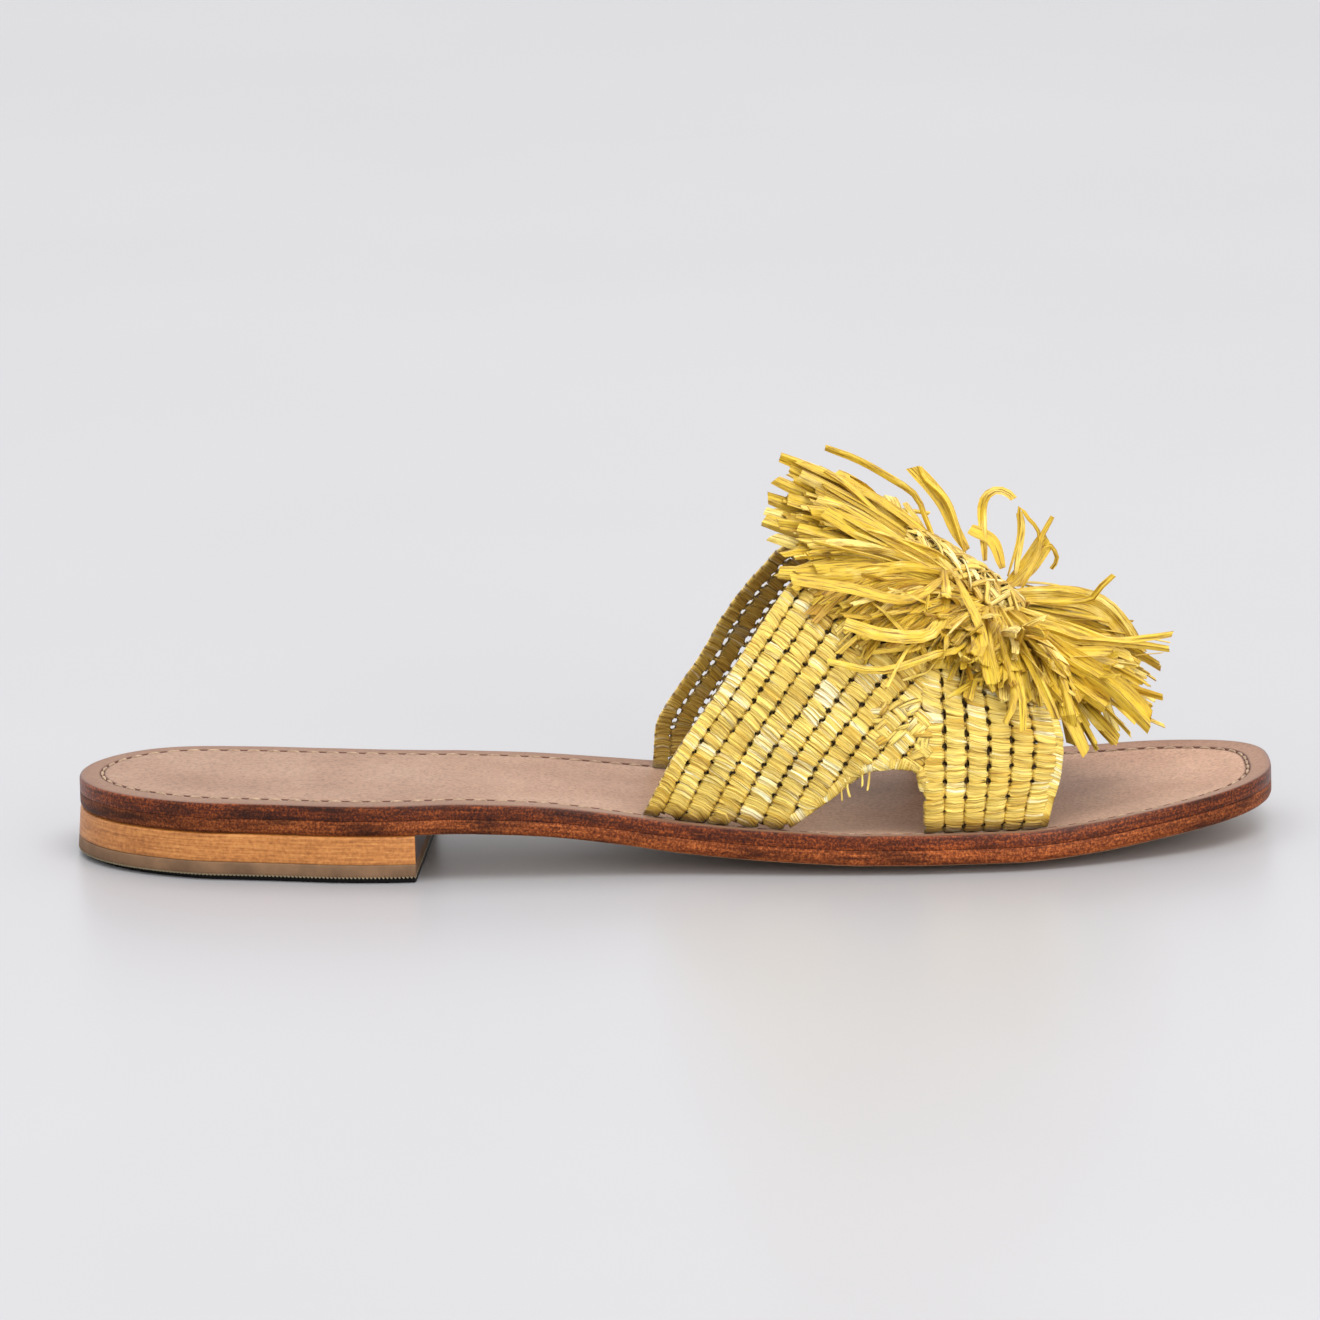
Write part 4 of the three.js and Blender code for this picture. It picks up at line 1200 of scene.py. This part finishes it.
def make_tuft():
    """The pompom: locks of raffia strips that fan out from the tie, short bits, and a few that stand out."""
    body = Body()
    lock_strips(body)
    paths = short_bits()
    count = len(paths)
    roll = rng.normal(0, 0.5, (count, 2))
    widths = rng.uniform(*SHORT_BITS["width"], count)
    ribbons(body, paths, widths, roll, some_tones(0.5, 0.2, count))
    paths = np.stack([spline(at_place(*np.array(points).T), RIBBON_STEPS) for _, points in LOOSE_STRANDS])
    widths = np.array([width for width, _ in LOOSE_STRANDS])
    count = len(widths)
    roll = rng.normal(0, 0.2, (count, 2))
    ribbons(body, paths, widths, roll, some_tones(0.55, 0.15, count), (0, -1, 0.6), 0.1)
    return body


def lock_strips(body):
    """Strips in locks, each from the tie to its tip. Some are bent, and those at the back are calmer."""
    tip, layer = tuft_tips(LOCKS)
    root = tuft_roots(tip)
    which = np.repeat(np.arange(LOCKS), rng.integers(*LOCK_STRIPS, LOCKS))
    count = len(which)
    tip = (tip + rng.normal(0, SCATTER["lock"], tip.shape))[which] + rng.normal(0, SCATTER["strip"], (count, 3))
    root = root[which] + rng.normal(0, SCATTER["root"], (count, 3))
    layer = layer[which]
    back = np.clip((TUFT_BACK["from"] - tip[:, 0] - LENGTH / 2) / TUFT_BACK["over"], 0, 1)
    reach = rng.uniform(lerp(*STRIP_REACH["least"], back), lerp(*STRIP_REACH["most"], back))
    tip = lerp(root, tip, reach[:, None])
    length = np.linalg.norm(tip - root, axis=1)
    bow = lerp(root, tip, STRIP_ARCH["place"])
    bow[:, 2] += length * lerp(*STRIP_ARCH["rise"], layer) + rng.normal(0, 1, count)
    t = RIBBON_T
    paths = bezier(root[:, None], bow[:, None], tip[:, None], t)
    bent = rng.random(count) < lerp(*STRIP_BEND["share"], back)
    start = rng.uniform(*STRIP_BEND["from"], count)[:, None, None]
    swing = rng.normal(0, 1, (count, 3)) * np.array(STRIP_BEND["swing"])
    swing = swing * (bent * lerp(1, STRIP_BEND["calm"], back))[:, None]
    paths += np.maximum(0, t - start) / (1 - start) * swing[:, None]
    wave = rng.uniform(0, 6.28, (count, 1, 3)) + t * rng.uniform(*STRIP_WAVE["turns"], (count, 1, 3))
    paths += np.sin(wave) * STRIP_WAVE["size"] * t
    paths = clear_of_vamp(paths)
    is_wide = rng.random(count) < STRIP_WIDTH["wide_share"]
    wide = rng.uniform(*STRIP_WIDTH["wide"], count)
    widths = np.where(is_wide, wide, rng.uniform(*STRIP_WIDTH["narrow"], count))
    tones = np.clip(rng.normal(0.5, 0.13, LOCKS)[which] + rng.normal(0, 0.15, count), 0, 1)
    roll = rng.normal(0, (0.4, 0.6), (count, 2)) * lerp(1, 0.5, back)[:, None]
    ribbons(body, paths, widths, roll, tones)


def short_bits():
    """Paths of short bent strips that stick out of the tuft's underside, over the outer flank."""
    count = SHORT_BITS["count"]
    s = rng.uniform(*SHORT_BITS["s"], count)
    across = rng.uniform(*SHORT_BITS["across"], count)
    root = vamp_point(s, across) + vamp_out(s, across) * rng.uniform(*SHORT_BITS["out"], (count, 1))
    angle = rng.normal(*SHORT_BITS["angle"], count)
    length = rng.uniform(*SHORT_BITS["length"], count)[:, None]
    way = np.stack([np.cos(angle), rng.normal(-0.35, 0.3, count), np.sin(angle)], -1)
    turn = rng.normal(0, 0.6, (count, 3))
    t = RIBBON_T
    paths = root[:, None] + (way * length)[:, None] * t + (turn * length)[:, None] * np.maximum(0, t - 0.5)
    return clear_of_vamp(paths)


def make_tie():
    """The twined patch over the tuft's middle: lanes of short slanted stitches over a low arch."""
    body = Body()
    t = np.linspace(0, 1, TIE_PATCH["stitches"] + 1)
    path = bezier(*tie_points, t[:, None])
    ahead = unit(np.gradient(path, axis=0))
    level = np.array([0.0, 1, 0])
    up = unit(np.cross(ahead, level))
    narrow = np.interp(t, [0, 0.3, 0.8, 1], [0.3, 0.9, 1, 0.6])[:, None]

    def lane_edge(place):
        angle = lerp(TIE_PATCH["near"], TIE_PATCH["far"], place)
        normal = up * math.cos(angle) + level * math.sin(angle)
        offset = level * math.sin(angle) + up * (math.cos(angle) - 1)
        return path + up * TIE_PATCH["rise"] + offset * TIE_PATCH["radius"] * narrow, normal

    tie_wraps(body, [lane_edge(place) for place in np.linspace(0, 1, TIE_PATCH["lanes"] + 1)])

    for lane in range(TIE_PATCH["lanes"]):
        edges = [lane_edge((lane + end) / TIE_PATCH["lanes"]) for end in (0, 1)]
        corners, normals = grid_corners([edge[0] for edge in edges], [edge[1] for edge in edges])
        flat = np.zeros(len(corners))
        skew = TIE_PATCH["skew"] if lane % 2 else -TIE_PATCH["skew"]
        woven_stitches(body, corners, normals, flat, flat, TIE_RISE, skew)
    return body


def tie_wraps(body, edges):
    """Short strips laid slantwise over the tie, each dipping into it at both ends."""
    points = np.stack([edge[0] for edge in edges], 1)
    normals = np.stack([edge[1] for edge in edges], 1)
    steps, lanes, _ = points.shape
    t = np.linspace(-1, 1, RIBBON_STEPS)
    along = rng.uniform(0.04, 0.96, (TIE_WRAPS, 1)) + rng.uniform(0.05, 0.14, (TIE_WRAPS, 1)) * t
    slant = rng.choice([-1, 1], (TIE_WRAPS, 1)) * rng.uniform(0.06, 0.32, (TIE_WRAPS, 1))
    across = rng.uniform(0, 1, (TIE_WRAPS, 1)) + slant * t
    row = np.clip(along, 0, 1) * (steps - 1)
    lane = np.clip(across, 0, 1) * (lanes - 1)
    i = np.minimum(row.astype(int), steps - 2)
    j = np.minimum(lane.astype(int), lanes - 2)
    a = (row - i)[..., None]
    b = (lane - j)[..., None]

    def between(grid):
        return lerp(lerp(grid[i, j], grid[i + 1, j], a), lerp(grid[i, j + 1], grid[i + 1, j + 1], a), b)

    out = unit(between(normals))
    lift = 1.5 + rng.uniform(-0.3, 0.4, (TIE_WRAPS, 1)) - 1.6 * t**6
    paths = between(points) + out * lift[..., None]
    roll = rng.normal(0, 0.25, (TIE_WRAPS, 2))
    tones = some_tones(0.55, 0.2, TIE_WRAPS)
    widths = rng.uniform(0.8, 1.9, TIE_WRAPS)
    ribbons(body, paths, widths, roll, tones, out.mean(1)[:, None], 0.1, 0.2)


# Pieces

weave = raffia_material(
    "raffia_weave", rgb(255, 249, 206), rgb(243, 214, 106), rgb(214, 172, 56), rgb(166, 136, 68), 4.2
)
fibre = raffia_material(
    "raffia_fibre", rgb(248, 226, 132), rgb(215, 181, 50), rgb(188, 144, 28), rgb(150, 116, 52)
)
tie = raffia_material(
    "raffia_tie", rgb(249, 232, 160), rgb(225, 193, 88), rgb(198, 155, 50), rgb(160, 126, 62)
)
rubber = heel_layer(RUBBER_PROFILE, RUBBER_TREAD)

make_piece("insole_leather", sole_layer(INSOLE_PROFILE), insole_material(), "insole_leather", "insole")
make_piece("insole_stitching", stitches(), thread_material(), "insole_leather")
make_piece("outsole_leather", sole_layer(OUTSOLE_PROFILE), outsole_material(), "outsole_leather", "outsole")
make_piece("heel_stack", heel_layer(HEEL_LIFT_PROFILE), heel_material(), "heel_stack", "heel_lift")
make_piece("heel_rubber", rubber, rubber_material(), "heel_rubber", "heel_top_piece")
make_piece("vamp_back_outer", make_back_band(-1), weave, "raffia_weave", "upper")
make_piece("vamp_back_inner", make_back_band(1), weave, "raffia_weave")
make_piece("vamp_front", make_front_band(), weave, "raffia_weave")
make_piece("vamp_edges", make_edges(), weave, "raffia_weave")
make_piece("pompom_strands", make_tuft(), fibre, "raffia_fibre", "pompom", smooth=False)
make_piece("pompom_twining", make_tie(), tie, "raffia_tie", "pompom_tie")

# Floor, light and camera

FLOOR_SIZE = 14.0
floor_mesh = bpy.data.meshes.new("floor")
corner = FLOOR_SIZE / 2
floor_mesh.from_pydata(
    [(-corner, -corner, 0), (corner, -corner, 0), (corner, corner, 0), (-corner, corner, 0)], [], [(0, 1, 2, 3)]
)
floor_mesh.materials.append(floor_material())
floor = bpy.data.objects.new("floor", floor_mesh)
bpy.context.scene.collection.objects.link(floor)


def put(obj, place, right, up, back):
    """Puts a light or a camera at a place, looking away from its back."""
    basis = np.column_stack([right, up, back])
    obj.matrix_world = Matrix.Translation(place) @ Matrix(basis.tolist()).to_4x4()
    bpy.context.scene.collection.objects.link(obj)


def area_light(name, place, target, size, power):
    """A soft round light, aimed at a target."""
    data = bpy.data.lights.new(name, "AREA")
    data.shape = "DISK"
    data.size = size
    data.energy = power
    aim = unit(np.array(target) - np.array(place))
    side = unit(np.cross(aim, [0, 0, 1]))
    put(bpy.data.objects.new(name, data), place, side, np.cross(side, aim), -aim)


area_light("key", (0.6, -0.8, 2.2), (0, 0, 0), 1.6, 30)
area_light("fill", (0.9, -1.8, 0.5), (0, 0, 0.05), 1.4, 19)
area_light("back", (-0.6, 1.2, 2.0), (0, 0, 0), 1.6, 14)

world = bpy.data.worlds.new("studio")
world.use_nodes = True
background = world.node_tree.nodes["Background"].inputs
background["Color"].default_value = (0.98, 0.985, 1.0, 1)
background["Strength"].default_value = 1.16
bpy.context.scene.world = world
bpy.context.scene.view_settings.view_transform = "Standard"

# The camera: worked out from the sole's outline and the floor, for a square frame 1320 pixels wide
CAMERA = {"place": (-45.1, -2458.9, 562.5), "yaw": -1.0, "elevation": 12.0, "roll": 1.6}
FOCAL_PIXELS = 11740
FRAME_PIXELS = 1320
SENSOR = 36


def make_camera():
    """The camera, turned by its yaw, elevation and roll."""
    yaw, elevation, roll = (math.radians(CAMERA[key]) for key in ("yaw", "elevation", "roll"))
    level = math.cos(elevation)
    back = np.array([math.sin(yaw) * level, -math.cos(yaw) * level, math.sin(elevation)])
    right = unit(np.cross(-back, [0, 0, 1]))
    up = np.cross(right, -back)
    rolled_right = right * math.cos(roll) - up * math.sin(roll)
    rolled_up = up * math.cos(roll) + right * math.sin(roll)
    data = bpy.data.cameras.new("camera")
    data.sensor_width = SENSOR
    data.lens = FOCAL_PIXELS / FRAME_PIXELS * SENSOR
    camera = bpy.data.objects.new("camera", data)
    put(camera, [value * MM for value in CAMERA["place"]], rolled_right, rolled_up, back)
    bpy.context.scene.camera = camera


make_camera()

bpy.context.view_layer.update()
